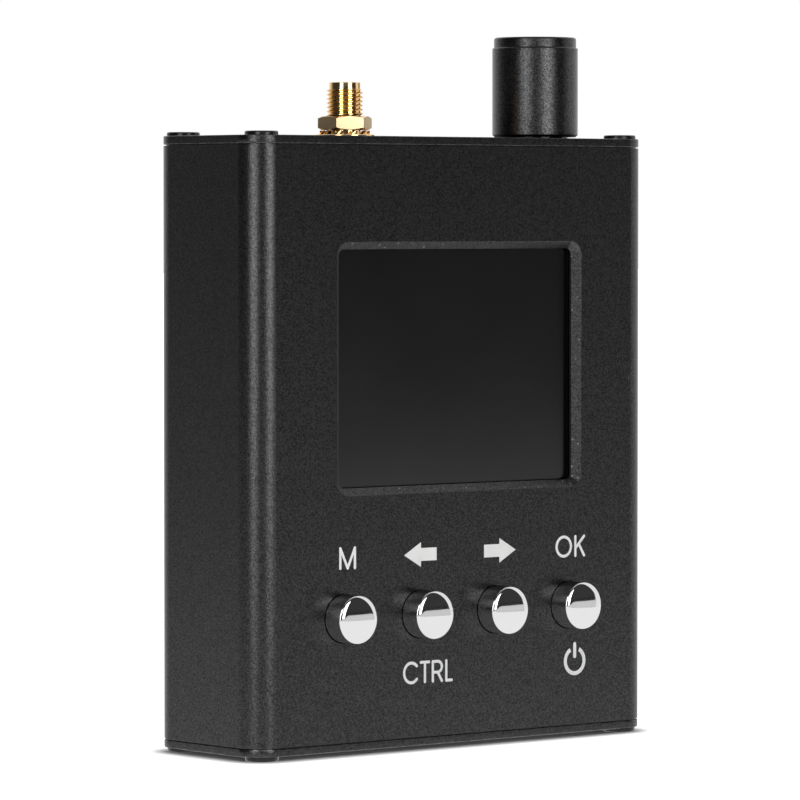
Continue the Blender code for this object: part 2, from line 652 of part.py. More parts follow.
def socket_body():
    """Turned outer body; z = 0 is the top face of the top plate."""
    crest = THREAD_DIAMETER / 2
    root = crest - THREAD_DEPTH
    bore = INSULATOR_DIAMETER / 2 + RUNNING
    mouth = SOCKET_MOUTH_DIAMETER / 2
    pilot = SOCKET_PILOT_DIAMETER / 2
    flange_middle = FLANGE_TOP - FLANGE_THICKNESS / 2 - UPPER_PLATE_TOP
    pilot_start = SOCKET_RISE - SOCKET_PILOT_LENGTH
    profile = [
        (bore, flange_middle),
        (root, flange_middle),
    ]
    _, _, height = socket_heights()
    profile.append((root, height))
    while height + THREAD_PITCH <= pilot_start:
        profile.append((crest, height + THREAD_PITCH / 2))
        height += THREAD_PITCH
        profile.append((root, height))
    profile += [
        (root, pilot_start),
        (pilot, pilot_start),
        (pilot, SOCKET_RISE),
        (mouth + SOCKET_MOUTH_BEVEL, SOCKET_RISE),
        (mouth, SOCKET_RISE - SOCKET_MOUTH_BEVEL),
        (mouth, SOCKET_RISE - SOCKET_MOUTH_DEPTH),
        (bore, SOCKET_RISE - SOCKET_MOUTH_DEPTH),
    ]
    return turned(profile, SOCKET_SIDES, ring=True)


def make_socket_jack(at):
    jack = piece("coax_socket_body", socket_body(), GOLD, at)
    half = FLANGE_SIZE / 2
    top = FLANGE_TOP - UPPER_PLATE_TOP
    bottom = FLANGE_BOTTOM - UPPER_PLATE_TOP
    flange = box((-half, -half, bottom), (half, half, top))
    join(jack, flange)
    front = BOARD_FRONT - SLIP - MIDDLE
    back = BOARD_BACK + SLIP - MIDDLE
    for side in (-1, 1):
        x = side * PRONG_SPREAD
        for near, far in ((front - PRONG_WIDTH, front), (back, back + PRONG_WIDTH)):
            low = (x - PRONG_WIDTH / 2, near, bottom - PRONG_LENGTH)
            high = (x + PRONG_WIDTH / 2, far, bottom + FLANGE_THICKNESS / 2)
            join(jack, box(low, high))
    bore = INSULATOR_DIAMETER / 2 + RUNNING
    cut(jack, rod(bore, bottom - OVERCUT, top + OVERCUT, SOCKET_SIDES))


def make_socket_core(at):
    """Insulator and centre contact."""
    top = SOCKET_RISE - SOCKET_MOUTH_DEPTH - SEAT
    bottom = FLANGE_BOTTOM - UPPER_PLATE_TOP
    contact = CONTACT_DIAMETER / 2
    outer = INSULATOR_DIAMETER / 2
    inner = contact + RUNNING
    tube = [(inner, bottom), (outer, bottom), (outer, top), (inner, top)]
    piece("coax_socket_insulator", turned(tube, SOCKET_SIDES, ring=True), WHITE_PLASTIC, at)
    tail = CONTACT_TAIL_DIAMETER / 2
    well = CONTACT_BORE_DIAMETER / 2
    profile = [
        (0, bottom - CONTACT_TAIL_LENGTH),
        (tail, bottom - CONTACT_TAIL_LENGTH),
        (tail, bottom),
        (contact, bottom),
        (contact, top),
        (well, top),
        (well, top - CONTACT_BORE_DEPTH),
        (0, top - CONTACT_BORE_DEPTH),
    ]
    piece("coax_socket_contact", turned(profile, SMALL_SIDES), GOLD, at)


def make_lock_washer(at, bottom):
    """A flat ring whose inner teeth stand higher than its sheet."""
    inner = THREAD_DIAMETER / 2 + SEAT
    tooth_end = inner + LOCK_WASHER_TOOTH
    rim = tooth_end + LOCK_WASHER_RIM
    sheet_top = bottom + LOCK_WASHER_SHEET
    ring = [(inner, bottom), (rim, bottom), (rim, sheet_top), (inner, sheet_top)]
    washer = piece("coax_socket_lock_washer", turned(ring, SOCKET_SIDES, ring=True), GOLD, at)
    half = LOCK_WASHER_TOOTH_WIDTH / 2
    low = (inner + RUNNING, -half, bottom + LOCK_WASHER_SHEET / 2)
    high = (tooth_end, half, bottom + LOCK_WASHER_HEIGHT)
    for index in range(LOCK_WASHER_TEETH):
        turn = Matrix.Rotation(math.tau * index / LOCK_WASHER_TEETH, 4, "Z")
        join(washer, moved(box(low, high), turn=turn))


def make_nut(name, finish, at, bottom, height, bore, wall, turn):
    """A hexagon nut whose corners are bevelled on both faces."""
    flat = bore + wall
    corner = flat / math.cos(math.radians(30))
    outline = polygon(corner, 6, turn)
    nut = piece(name, prism(outline, bottom, bottom + height), finish, at)
    drop = (corner - flat) * math.tan(NUT_BEVEL)
    profile = [
        (0, bottom - OVERCUT),
        (flat - OVERCUT / math.tan(NUT_BEVEL), bottom - OVERCUT),
        (flat, bottom),
        (corner + RUNNING, bottom + drop + RUNNING * math.tan(NUT_BEVEL)),
        (corner + RUNNING, bottom + height - drop - RUNNING * math.tan(NUT_BEVEL)),
        (flat, bottom + height),
        (flat - OVERCUT / math.tan(NUT_BEVEL), bottom + height + OVERCUT),
        (0, bottom + height + OVERCUT),
    ]
    combine(nut, turned(profile, KEY_SIDES), "INTERSECT")
    cut(nut, rod(bore, bottom - OVERCUT, bottom + height + OVERCUT, SOCKET_SIDES))


def make_socket():
    at = (SOCKET_X, MIDDLE, UPPER_PLATE_TOP)
    washer_bottom, nut_bottom, _ = socket_heights()
    make_socket_jack(at)
    make_socket_core(at)
    make_lock_washer(at, washer_bottom)
    bore = THREAD_DIAMETER / 2
    make_nut(
        "coax_socket_nut", GOLD, at, nut_bottom, SOCKET_NUT_HEIGHT, bore, SOCKET_NUT_WALL, SOCKET_NUT_TURN
    )


def make_encoder_housing(at):
    half = ENCODER_SIZE / 2
    top = HOUSING_TOP - UPPER_PLATE_TOP
    bottom = HOUSING_BOTTOM - UPPER_PLATE_TOP
    housing = piece("encoder_housing", box((-half, -half, bottom), (half, half, top)), BLACK_PLASTIC, at)
    well = rod(ROTOR_DIAMETER / 2 + SLIP, bottom + ENCODER_FLOOR, top + OVERCUT, SOCKET_SIDES)
    cut(housing, well)
    flange_top = BUSHING_FLANGE_TOP - UPPER_PLATE_TOP
    flange_bottom = BUSHING_FLANGE_BOTTOM - UPPER_PLATE_TOP
    shape = box((-half, -half, flange_bottom), (half, half, flange_top))
    bushing = piece("encoder_bushing", shape, NICKEL, at)
    join(bushing, rod(BUSHING_RADIUS, flange_bottom + BUSHING_FLANGE / 2, BUSHING_RISE, SOCKET_SIDES))
    cut(bushing, rod(BUSHING_BORE, flange_bottom - OVERCUT, BUSHING_RISE + OVERCUT, SOCKET_SIDES))


def make_encoder_fixings(at):
    """Washer and nut on the bushing, and the boards and header under the housing."""
    bore = BUSHING_RADIUS + SEAT
    rim = bore + ENCODER_WASHER_RIM
    top = SEAT + ENCODER_WASHER_THICKNESS
    ring = [(bore, SEAT), (rim, SEAT), (rim, top), (bore, top)]
    piece("encoder_washer", turned(ring, SOCKET_SIDES, ring=True), BLACK_SCREW, at)
    bottom = ENCODER_NUT_BOTTOM - UPPER_PLATE_TOP
    make_nut("encoder_nut", BLACK_SCREW, at, bottom, ENCODER_NUT_HEIGHT, bore, ENCODER_NUT_WALL, 0.0)
    half = (ENCODER_BOARD_WIDTH / 2, ENCODER_BOARD_DEPTH / 2)
    low = (ENCODER_X - half[0], MIDDLE - half[1], ENCODER_BOARD_BOTTOM)
    high = (ENCODER_X + half[0], MIDDLE + half[1], ENCODER_BOARD_TOP)
    piece("encoder_board", box(low, high), GREEN_BOARD)
    middle = (BOARD_FRONT + BOARD_BACK) / 2
    low = (ENCODER_X - ENCODER_HEADER_LENGTH / 2, middle - HEADER_WIDTH / 2, NOTCH_Z + SEAT)
    high = (ENCODER_X + ENCODER_HEADER_LENGTH / 2, middle + HEADER_WIDTH / 2, ENCODER_BOARD_BOTTOM - SEAT)
    piece("encoder_header", box(low, high), BLACK_PLASTIC)


def make_encoder_shaft(at, axis):
    """Rotor and the shaft that slides through its square hole; z = 0 is the top face of the top plate."""
    rotor_bottom = ROTOR_BOTTOM - UPPER_PLATE_TOP
    rotor_top = rotor_bottom + ROTOR_THICKNESS
    disc = rod(ROTOR_DIAMETER / 2, rotor_bottom, rotor_top, SOCKET_SIDES)
    rotor = piece("encoder_rotor", disc, WHITE_PLASTIC, at, None, axis)
    gap = SHAFT_KEY_SIZE / 2 + SEAT
    cut(rotor, box((-gap, -gap, rotor_bottom - OVERCUT), (gap, gap, rotor_top + OVERCUT)))
    shoulder = rotor_top + KNOB_TRAVEL + SEAT
    top = KNOB_TOP - KNOB_ROOF - SEAT - UPPER_PLATE_TOP
    shaft = piece("encoder_shaft", rod(SHAFT_DIAMETER / 2, shoulder, top, SOCKET_SIDES), STEEL, at, None, axis)
    key = SHAFT_KEY_SIZE / 2
    join(shaft, box((-key, -key, rotor_bottom), (key, key, shoulder + SLIP)))
    wide = SHAFT_DIAMETER
    cut(shaft, box((-wide, SHAFT_FLAT, top - SHAFT_FLAT_LENGTH), (wide, wide, top + OVERCUT)))


def knob_body():
    """Turned knob, hollow over the nut; z = 0 is the top face of the top plate."""
    bottom = KNOB_LIFT
    top = bottom + KNOB_HEIGHT
    radius = KNOB_DIAMETER / 2
    crown = radius - KNOB_CROWN_STEP
    bore = SHAFT_DIAMETER / 2 + RUNNING
    nut_flat = BUSHING_RADIUS + SEAT + ENCODER_NUT_WALL
    hollow = nut_flat / math.cos(math.radians(30)) + SLIP
    ceiling = KNOB_CEILING - UPPER_PLATE_TOP
    profile = [
        (0, top - KNOB_ROOF),
        (bore, top - KNOB_ROOF),
        (bore, ceiling),
        (hollow, ceiling),
        (hollow, bottom),
        (radius - KNOB_FOOT_EDGE, bottom),
        (radius, bottom + KNOB_FOOT_EDGE),
        (radius, top - KNOB_CROWN_HEIGHT - KNOB_CROWN_STEP),
        (crown, top - KNOB_CROWN_HEIGHT),
    ]
    profile += quarter_round(crown, top, KNOB_EDGE)
    profile.append((0, top))
    return turned(profile, KNOB_SIDES)


def make_knob(at, axis):
    knob = piece("knob", knob_body(), BLACK_ANODISED, at, None, axis)
    rise = KNOB_LIFT + GRUB_RISE
    away = Matrix.Rotation(math.radians(-90), 4, "X")
    hole = rod(GRUB_DIAMETER / 2 + SEAT, SHAFT_FLAT, KNOB_DIAMETER, SMALL_SIDES)
    cut(knob, moved(hole, z=rise, turn=away))
    inner = SHAFT_FLAT + SEAT
    outer = KNOB_DIAMETER / 2 - GRUB_SINK
    shape = rod(GRUB_DIAMETER / 2, inner, outer, SMALL_SIDES)
    seat = (at[0], at[1], at[2] + rise)
    grub = piece("knob_grub_screw", shape, STEEL, seat, away, axis)
    corner = GRUB_KEY / 2 / math.cos(math.radians(30))
    cut(grub, prism(polygon(corner, 6), outer - GRUB_KEY_DEPTH, outer + OVERCUT))


def make_encoder():
    at = (ENCODER_X, MIDDLE, UPPER_PLATE_TOP)
    axis = axis_empty("knob_axis", at)
    make_encoder_housing(at)
    make_encoder_fixings(at)
    make_encoder_shaft(at, axis)
    make_knob(at, axis)


def make_main_board():
    half = BOARD_WIDTH / 2
    outline = [
        (-half, BOARD_BOTTOM),
        (half, BOARD_BOTTOM),
        (half, NOTCH_Z),
        (NOTCH_X, NOTCH_Z),
        (NOTCH_X, BOARD_TOP),
        (-half, BOARD_TOP),
    ]
    shape = moved(prism(outline, -BOARD_THICKNESS, 0), y=BOARD_FRONT, turn=TURN_TO_FRONT)
    piece("main_board", shape, GREEN_BOARD)


def make_radio_can():
    front = BOARD_BACK + SEAT
    back = front + CAN_DEPTH
    top = BOARD_TOP - CAN_DROP
    bottom = top - CAN_HEIGHT
    left = SOCKET_X - CAN_WIDTH / 2
    right = SOCKET_X + CAN_WIDTH / 2
    can = piece("radio_screening_can", box((left, front, bottom), (right, back, top)), NICKEL)
    low = (left + CAN_WALL, front - OVERCUT, bottom + CAN_WALL)
    high = (right - CAN_WALL, back - CAN_WALL, top - CAN_WALL)
    cut(can, box(low, high))


def make_processor():
    half = CHIP_SIZE / 2
    middle = SLEEVE_BOTTOM + CHIP_RISE
    front = BOARD_BACK + SEAT
    low = (CHIP_X - half, front, middle - half)
    high = (CHIP_X + half, front + CHIP_THICKNESS, middle + half)
    piece("processor", box(low, high), BLACK_PLASTIC)


def make_battery():
    """Cell on its foam pad, its socket and plug, and the two leads between cell and plug."""
    middle = SLEEVE_BOTTOM + CELL_RISE + CELL_HEIGHT / 2
    pad = rounded_rectangle(CELL_WIDTH - 2 * PAD_MARGIN, CELL_HEIGHT - 2 * PAD_MARGIN, CELL_CORNER)
    shape = moved(prism(pad, -PAD_THICKNESS, 0), CELL_X, PAD_FRONT, middle, TURN_TO_FRONT)
    piece("battery_pad", shape, WHITE_FOAM)
    cell = rounded_rectangle(CELL_WIDTH, CELL_BACK - CELL_FRONT, CELL_CORNER)
    shape = prism(cell, CELL_TOP - CELL_HEIGHT, CELL_TOP)
    piece("battery_cell", moved(shape, CELL_X, (CELL_FRONT + CELL_BACK) / 2), SILVER_POUCH)

    front = BOARD_BACK + SEAT
    left = CELL_X + CELL_WIDTH / 2 + PLUG_GAP
    rise = CELL_TOP + SOCKET_BLOCK_HEIGHT
    low = (left, front, rise - PLUG_HEIGHT / 2)
    high = (left + PLUG_LENGTH, front + PLUG_DEPTH, rise + PLUG_HEIGHT / 2)
    piece("battery_plug", box(low, high), WHITE_PLASTIC)
    start = left + PLUG_LENGTH + SEAT
    low = (start, front, rise - SOCKET_BLOCK_HEIGHT / 2)
    high = (start + SOCKET_BLOCK_LENGTH, front + SOCKET_BLOCK_DEPTH, rise + SOCKET_BLOCK_HEIGHT / 2)
    piece("battery_socket", box(low, high), WHITE_PLASTIC)
    make_battery_lead("battery_lead_red", RED_LEAD, left, front, rise, 1)
    make_battery_lead("battery_lead_black", BLACK_LEAD, left, front, rise, -1)


def make_battery_lead(name, finish, plug_left, plug_front, rise, side):
    """A lead that leaves the cell's top upwards and enters the plug's side, on one Bezier arc."""
    shift = side * LEAD_SPREAD / 2
    start = (plug_left - PLUG_GAP * 2 - shift, (CELL_FRONT + CELL_BACK) / 2, CELL_TOP + SEAT)
    end = (plug_left - SEAT, plug_front + PLUG_DEPTH / 2, rise + shift)
    lift = (start[0], start[1], end[2])
    reach = (start[0], end[1], end[2])
    curve = bpy.data.curves.new(name, "CURVE")
    curve.dimensions = "3D"
    curve.bevel_depth = LEAD_DIAMETER / 2
    curve.bevel_resolution = 2
    curve.use_fill_caps = True
    spline = curve.splines.new("POLY")
    spline.points.add(LEAD_POINTS - 1)
    for index, point in enumerate(spline.points):
        share = index / (LEAD_POINTS - 1)
        weights = ((1 - share) ** 3, 3 * share * (1 - share) ** 2, 3 * share**2 * (1 - share), share**3)
        corners = (start, lift, reach, end)
        spot = [sum(w * corner[axis] for w, corner in zip(weights, corners)) for axis in range(3)]
        point.co = (*spot, 1.0)
    curve.materials.append(finish_for(name, finish))
    place_object(bpy.data.objects.new(name, curve), (0, 0, 0), None, None)


def usb_middle():
    return BOARD_FRONT - SEAT - USB_DEPTH / 2


def make_charging_socket():
    """Shell on the lower edge of the main board, open downwards, and the tongue inside it."""
    bottom = LOWER_PLATE_BOTTOM + USB_RECESS
    top = bottom + USB_LENGTH
    outline = rounded_rectangle(USB_WIDTH, USB_DEPTH, USB_CORNER)
    shell = piece("charging_socket_shell", moved(prism(outline, bottom, top), USB_X, usb_middle()), NICKEL)
    mouth = rounded_rectangle(USB_WIDTH - 2 * USB_WALL, USB_DEPTH - 2 * USB_WALL, USB_CORNER - USB_WALL)
    cut(shell, moved(prism(mouth, bottom - OVERCUT, top - USB_BACK), USB_X, usb_middle()))
    half = TONGUE_WIDTH / 2
    low = (USB_X - half, usb_middle() - TONGUE_THICKNESS / 2, bottom + TONGUE_SETBACK)
    high = (USB_X + half, usb_middle() + TONGUE_THICKNESS / 2, top - USB_BACK - SEAT)
    piece("charging_socket_tongue", box(low, high), BLACK_PLASTIC)


def main():
    clear_scene()
    make_sleeve()
    make_plates()
    make_screws()
    make_keys()
    make_display()
    make_socket()
    make_encoder()
    make_main_board()
    make_radio_can()
    make_processor()
    make_battery()
    make_charging_socket()


main()
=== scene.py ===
import json
import math

import bmesh
import bpy
from mathutils import Matrix, Vector

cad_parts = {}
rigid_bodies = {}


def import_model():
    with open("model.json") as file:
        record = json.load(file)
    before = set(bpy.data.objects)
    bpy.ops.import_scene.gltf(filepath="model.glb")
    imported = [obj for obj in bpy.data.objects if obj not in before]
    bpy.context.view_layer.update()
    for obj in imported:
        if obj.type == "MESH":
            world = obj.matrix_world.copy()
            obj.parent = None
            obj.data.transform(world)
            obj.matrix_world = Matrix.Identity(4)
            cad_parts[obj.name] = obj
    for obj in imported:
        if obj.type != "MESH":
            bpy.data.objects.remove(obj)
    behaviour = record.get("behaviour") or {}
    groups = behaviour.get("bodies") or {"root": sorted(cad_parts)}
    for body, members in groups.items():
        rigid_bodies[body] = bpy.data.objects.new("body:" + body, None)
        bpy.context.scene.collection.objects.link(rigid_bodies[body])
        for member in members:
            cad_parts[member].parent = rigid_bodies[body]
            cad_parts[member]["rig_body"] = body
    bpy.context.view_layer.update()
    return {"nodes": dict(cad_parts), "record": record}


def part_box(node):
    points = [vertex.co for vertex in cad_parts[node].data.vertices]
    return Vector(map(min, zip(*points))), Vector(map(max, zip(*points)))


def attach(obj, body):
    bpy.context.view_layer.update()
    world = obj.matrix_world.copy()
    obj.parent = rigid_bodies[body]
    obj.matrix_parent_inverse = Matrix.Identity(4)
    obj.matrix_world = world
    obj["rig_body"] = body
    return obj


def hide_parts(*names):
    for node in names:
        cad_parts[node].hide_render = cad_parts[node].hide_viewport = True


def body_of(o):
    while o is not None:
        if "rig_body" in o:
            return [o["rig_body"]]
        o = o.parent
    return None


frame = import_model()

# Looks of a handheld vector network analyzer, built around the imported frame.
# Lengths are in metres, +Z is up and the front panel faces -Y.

MM = 0.001
QUARTER = math.radians(90)
MERGE = 0.0001 * MM
NEAR = 10 * MERGE
OVERCUT = 1.0 * MM
TURN_TO_FRONT = Matrix.Rotation(QUARTER, 4, "X")
TURN_OVER = Matrix.Rotation(2 * QUARTER, 4, "X")

# Camera, solved from the straight edges of the case; its y is measured from the panel face
CAMERA_PLACE = (-584.19 * MM, -684.07 * MM, 90.48 * MM)
CAMERA_YAW = math.radians(39.864)
CAMERA_PITCH = math.radians(-1.992)
CAMERA_LENS = 238.03
CAMERA_SENSOR = 36.0
CAMERA_CLIP = (0.01, 50.0)

# Case
CASE_WALL = 1.5 * MM
CASE_CORNER = 4.7 * MM
CORNER_SEGMENTS = 20
EDGE_SEGMENTS = 2
OUTLINE_TOLERANCE = 0.01 * MM
SLEEVE_EDGE = 0.06 * MM
PLATE_EDGE = 0.16 * MM
PLATE_PROUD = 0.13 * MM
PLATE_SEAM_CLOSED = 0.1 * MM
PLATE_SEAT_INSET = 0.45 * MM
BUSHING_HOLE = 3.8 * MM
CHARGING_SLOT_GAP = 0.25 * MM
CHARGING_SLOT_CORNER = 0.75 * MM
RIB_REACH = 2.0 * MM
RIB_THICKNESS = 1.2 * MM
RIB_GAP = 0.3 * MM
CHANNEL_RADIUS = 1.6 * MM
CHANNEL_WALL = 1.4 * MM

# Screen opening
WINDOW_CHAMFER = 1.25 * MM
WINDOW_CORNER = 2.4 * MM
WINDOW_WIDTH = 54.55 * MM
WINDOW_HEIGHT = 42.55 * MM
WINDOW_EDGE = 0.06 * MM
FACET_SLOPE_TOLERANCE = 0.05

# Keys
KEY_NAMES = ("menu", "left", "right", "enter")
KEY_RADIUS = 4.075 * MM
KEY_CLEARANCE = 0.14 * MM
KEY_SHOULDER_REACH = 1.4 * MM
KEY_SHOULDER_DROP = 0.6 * MM
KEY_DOME_TILT = math.radians(5.5)
KEY_LIP_FRONT = 1.8 * MM
KEY_LIP_BACK = 2.6 * MM
KEY_TAIL_RADIUS = 3.2 * MM
KEY_WELL_RADIUS = 1.95 * MM
KEY_WELL_FLOOR = 1.15 * MM

# End plate screws; each cross stands at its own turn
SCREW_HEAD_EDGE = 0.28 * MM
SCREW_SHANK_RADIUS = 1.3 * MM
SCREW_POINT = 0.5 * MM
SCREW_CROSS_LENGTH = 2.9 * MM
SCREW_CROSS_WIDTH = 0.62 * MM
SCREW_CROSS_DEPTH = 0.55 * MM
SCREW_CROSS_TAPER = 0.55
SCREW_TURNS = {"front_left": 0.35, "front_right": 1.1, "back_left": 0.8, "back_right": 0.1}

# Coaxial socket, heights above the top plate
THREAD_RADIUS = 3.125 * MM
THREAD_DEPTH = 0.4 * MM
THREAD_PITCH = 25.4 / 36 * MM
THREAD_STEPS = 48
THREAD_TURNS = 7
THREAD_BASE = 0.42
THREAD_CREST = 0.07
THREAD_SINK = 0.05 * MM
THREAD_RUNOUT = 0.3
PILOT_RADIUS = 2.65 * MM
PILOT_LENGTH = 1.2 * MM
PILOT_EDGE = 0.12 * MM
MOUTH_RADIUS = 2.3 * MM
MOUTH_DEPTH = 1.9 * MM
INSULATOR_RADIUS = 2.0 * MM
SOCKET_BORE = 2.1 * MM
FLANGE_THICKNESS = 1.8 * MM
FLANGE_CORNER = 0.4 * MM
FLANGE_SEGMENTS = 4
PRONG_WIDTH = 1.2 * MM
PRONG_SPREAD = 3.4 * MM
PRONG_CORNER = 0.2 * MM
PRONG_SEGMENTS = 3
CONTACT_RADIUS = 0.635 * MM
CONTACT_BORE = 0.47 * MM
CONTACT_DEPTH = 2.0 * MM
CONTACT_SLOT = 0.14 * MM
CONTACT_GAP = 0.05 * MM
CONTACT_EDGE = 0.06 * MM
CONTACT_TAIL = 0.45 * MM
NUT_SIDES = 6
NUT_FLAT_RADIUS = 4.1 * MM
NUT_TURN = math.radians(33.3)
NUT_BEVEL = math.radians(30)
NUT_EDGE = 0.07 * MM
NUT_EASE = 0.12 * MM
WASHER_SHEET = 0.4 * MM
WASHER_TOOTH_INNER = 3.35 * MM
WASHER_TOOTH_OUTER = 4.3 * MM
WASHER_TOOTH_WIDTH = 1.25 * MM
WASHER_TWIST = math.radians(34)
WASHER_TEETH = 10
WASHER_EDGE = 0.08 * MM
WASHER_TOOTH_EDGE = 0.05 * MM
WASHER_TOOTH_ROOT = 0.15 * MM

# Knob
KNOB_CROWN_STEP = 0.3 * MM
KNOB_CROWN_HEIGHT = 1.6 * MM
KNOB_EDGE = 0.4 * MM
KNOB_STEP_FILLET = 0.12 * MM
KNOB_FOOT_EDGE = 0.4 * MM
KNOB_ROOF = 3.0 * MM
KNOB_BORE = 3.1 * MM
KNOB_HOLLOW = 6.1 * MM
KNOB_HOLLOW_DEPTH = 4.0 * MM
GRUB_HOLE_RADIUS = 1.6 * MM

# Printed key legends: the pen, and how far the ink stands off the panel
INK_STROKE = 0.5 * MM
INK_RISE = 0.02 * MM
INK_SINK = 0.02 * MM
INK_STEP = 0.06
PEN_SIDES = 24
PEN_DOT = 0.01 * MM
BOWL_STEPS = 48
LEGEND_BASE = 31.33 * MM
LEGEND_HEIGHT = 3.84 * MM
LOWER_LEGEND_BASE = 11.3 * MM

# Left and right sides of each letter, and the shares that shape some of them
LETTER_SIDES = {
    "M": (-26.2 * MM, -22.55 * MM),
    "O": (22.1 * MM, 25.92 * MM),
    "K": (26.44 * MM, 28.95 * MM),
    "C": (-12.3 * MM, -8.95 * MM),
    "T": (-8.6 * MM, -6.3 * MM),
    "R": (-5.95 * MM, -3.45 * MM),
    "L": (-2.95 * MM, -1.26 * MM),
}
K_JOIN = 0.38
K_FORK = 0.38
C_REACH = 0.56
C_OPENING = math.radians(42)
R_WAIST = 0.45

# Arrows as tip, back of the head and tail, and the power sign
LEFT_ARROW = (-12.05 * MM, -8.33 * MM, -4.85 * MM)
RIGHT_ARROW = (12.94 * MM, 9.24 * MM, 5.76 * MM)
ARROW_RISE = 33.2 * MM
ARROW_HEAD_HALF = 2.1 * MM
ARROW_SHAFT_HALF = 1.1 * MM
POWER_PLACE = (26.56 * MM, 13.3 * MM)
POWER_RING = 2.17 * MM
POWER_PEN = 0.7 * MM
POWER_GAP = math.radians(27)
POWER_BAR = (0.8 * MM, 2.9 * MM)

# Finishes, in linear colours
DYE_BLUE = 1.02
# A lighter tone given to the faces of the window chamfer
CHAMFER_TONE_DARK = (0.035, 0.035, 0.0357)
CHAMFER_TONE_LIGHT = (0.120, 0.120, 0.122)
RUBBED_TONE = (0.15, 0.15, 0.153)
DUST_TONE = (0.25, 0.25, 0.24)
SKIN_ROUGHNESS = (0.278, 0.286)
SCREW_DARK = (0.008, 0.008, 0.009)
SCREW_LIGHT = (0.020, 0.018, 0.018)
SCREW_METALLIC = 0.4
SCREW_GRAIN_DEPTH = 0.004 * MM
PANE_TONE = (0.002, 0.002, 0.0023)
PANE_DUST_TONE = (0.07, 0.07, 0.07)
PANE_IOR = 1.84
PLASTIC_SHADE = 0.8
MOTTLE_RANGE = (0.3, 0.7)
MOTTLE_SCALE_SHARE = 0.09
SMUDGE_RANGE = (0.35, 0.7)
WEAR_START = 0.75
WEAR_BLEND = 0.25

# Blasted and dyed skins: pits per metre, their depth, and the darkest and lightest dye
SKINS = {
    "black_anodised": (5400.0, 0.017 * MM, 0.029, 0.087),
    "blasted_knob": (6200.0, 0.0155 * MM, 0.020, 0.098),
}

# Metals: colour, how far a stain dims it, and the smoothest and roughest polish
METALS = {
    "chrome": ((0.82, 0.82, 0.825), 0.97, 0.03, 0.06),
    "gold": ((0.98, 0.69, 0.34), 0.92, 0.12, 0.18),
    "satin_gold": ((1.0, 0.75, 0.43), 0.94, 0.27, 0.31),
    "steel": ((0.60, 0.61, 0.63), 0.85, 0.24, 0.36),
    "nickel": ((0.70, 0.69, 0.66), 0.90, 0.18, 0.30),
    "silver_pouch": ((0.62, 0.63, 0.65), 0.9, 0.28, 0.45),
}

# Moulded, coated and printed surfaces: colour, smoothest, roughest, grains per metre and their depth
PLASTICS = {
    "display_glass": ((0.03, 0.03, 0.035), 0.10, 0.18, 2000.0, 0.001 * MM),
    "black_foam": ((0.02, 0.02, 0.02), 0.85, 0.95, 2500.0, 0.08 * MM),
    "black_plastic": ((0.025, 0.025, 0.027), 0.42, 0.55, 5000.0, 0.01 * MM),
    "white_plastic": ((0.85, 0.84, 0.80), 0.38, 0.50, 5000.0, 0.006 * MM),
    "white_foam": ((0.80, 0.80, 0.78), 0.85, 0.95, 2500.0, 0.08 * MM),
    "green_board": ((0.02, 0.12, 0.05), 0.34, 0.46, 1500.0, 0.01 * MM),
    "red_lead": ((0.55, 0.03, 0.02), 0.42, 0.55, 4000.0, 0.01 * MM),
    "black_lead": ((0.02, 0.02, 0.02), 0.42, 0.55, 4000.0, 0.01 * MM),
    "ink": ((0.95, 0.95, 0.94), 0.50, 0.62, 4500.0, 0.008 * MM),
}

# Studio: lamps by place, width, height and watts, all of which face LAMP_AIM
LAMP_AIM = (0.0, 0.0, 0.06)
LAMPS = {
    "left_strip": ((-0.324, -0.150, 0.145), 0.130, 0.26, 0.40),
    "right_strip": ((-0.016, -0.346, 0.145), 0.150, 0.26, 0.47),
    "fill": ((-0.42, -0.50, 0.36), 0.40, 0.30, 0.36),
}

# The white paper that the object stands on, the shade line at its edge and the table around it
PAPER_REACH = 0.29
PAPER_LEVEL = 0.98
PAPER_EDGE = 0.004
PAPER_SHADE = 0.010
PAPER_SHADE_LEVEL = 0.45
TABLE_REACH = 0.74
TABLE_LEVEL = 0.69
TABLE_FADE = 1.15
TABLE_FAR_SHARE = 0.04
FLOOR_REACH = 6.0
FLOOR_TONE = (0.85, 0.85, 0.85, 1.0)

# The painted shade under the object, which starts inside the case outline and ends outside it, over the
# floor's real shadow
CONTACT_START = -0.5 * MM
CONTACT_END = 4.5 * MM

# The white sweep behind the object, by the directions of its two halves, and the rest of the room
SWEEP_LEVEL = 0.92
SWEEP_RIGHT = (0.629, 0.777, 0.0)
SWEEP_RIGHT_EDGE = (-0.02, 0.02)
SWEEP_LEFT = (0.966, 0.259, 0.0)
SWEEP_LEFT_EDGE = (-0.75, 0.45)
ROOM_LEVEL = 0.04
TOP_EDGE = (0.80, 0.97)
TOP_LEVEL = 0.35

# Facets of round shapes
SMALL_SIDES = 32
KEY_SIDES = 96
SOCKET_SIDES = 64
KNOB_SIDES = 128
ARC_STEPS = 8
SMOOTH_ANGLE = math.radians(32)

# Places in the frame
SLEEVE_LOW, SLEEVE_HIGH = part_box("case_sleeve")
FRONT = SLEEVE_LOW.y
MIDDLE = (SLEEVE_LOW.y + SLEEVE_HIGH.y) / 2
PLATE_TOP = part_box("top_plate")[1].z
PLATE_FACE = PLATE_TOP + PLATE_PROUD
PANE_LOW, PANE_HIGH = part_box("display_pane")
WINDOW_X = (PANE_LOW.x + PANE_HIGH.x) / 2
WINDOW_Z = (PANE_LOW.z + PANE_HIGH.z) / 2


# Shapes

def transformed(shape, matrix):
    bmesh.ops.transform(shape, matrix=matrix, verts=shape.verts)
    return shape


def moved(shape, x=0.0, y=0.0, z=0.0):
    return transformed(shape, Matrix.Translation((x, y, z)))


def mesh_of(name, shape):
    """A mesh from a shape, which is used up."""
    mesh = bpy.data.meshes.new(name)
    shape.to_mesh(mesh)
    shape.free()
    return mesh


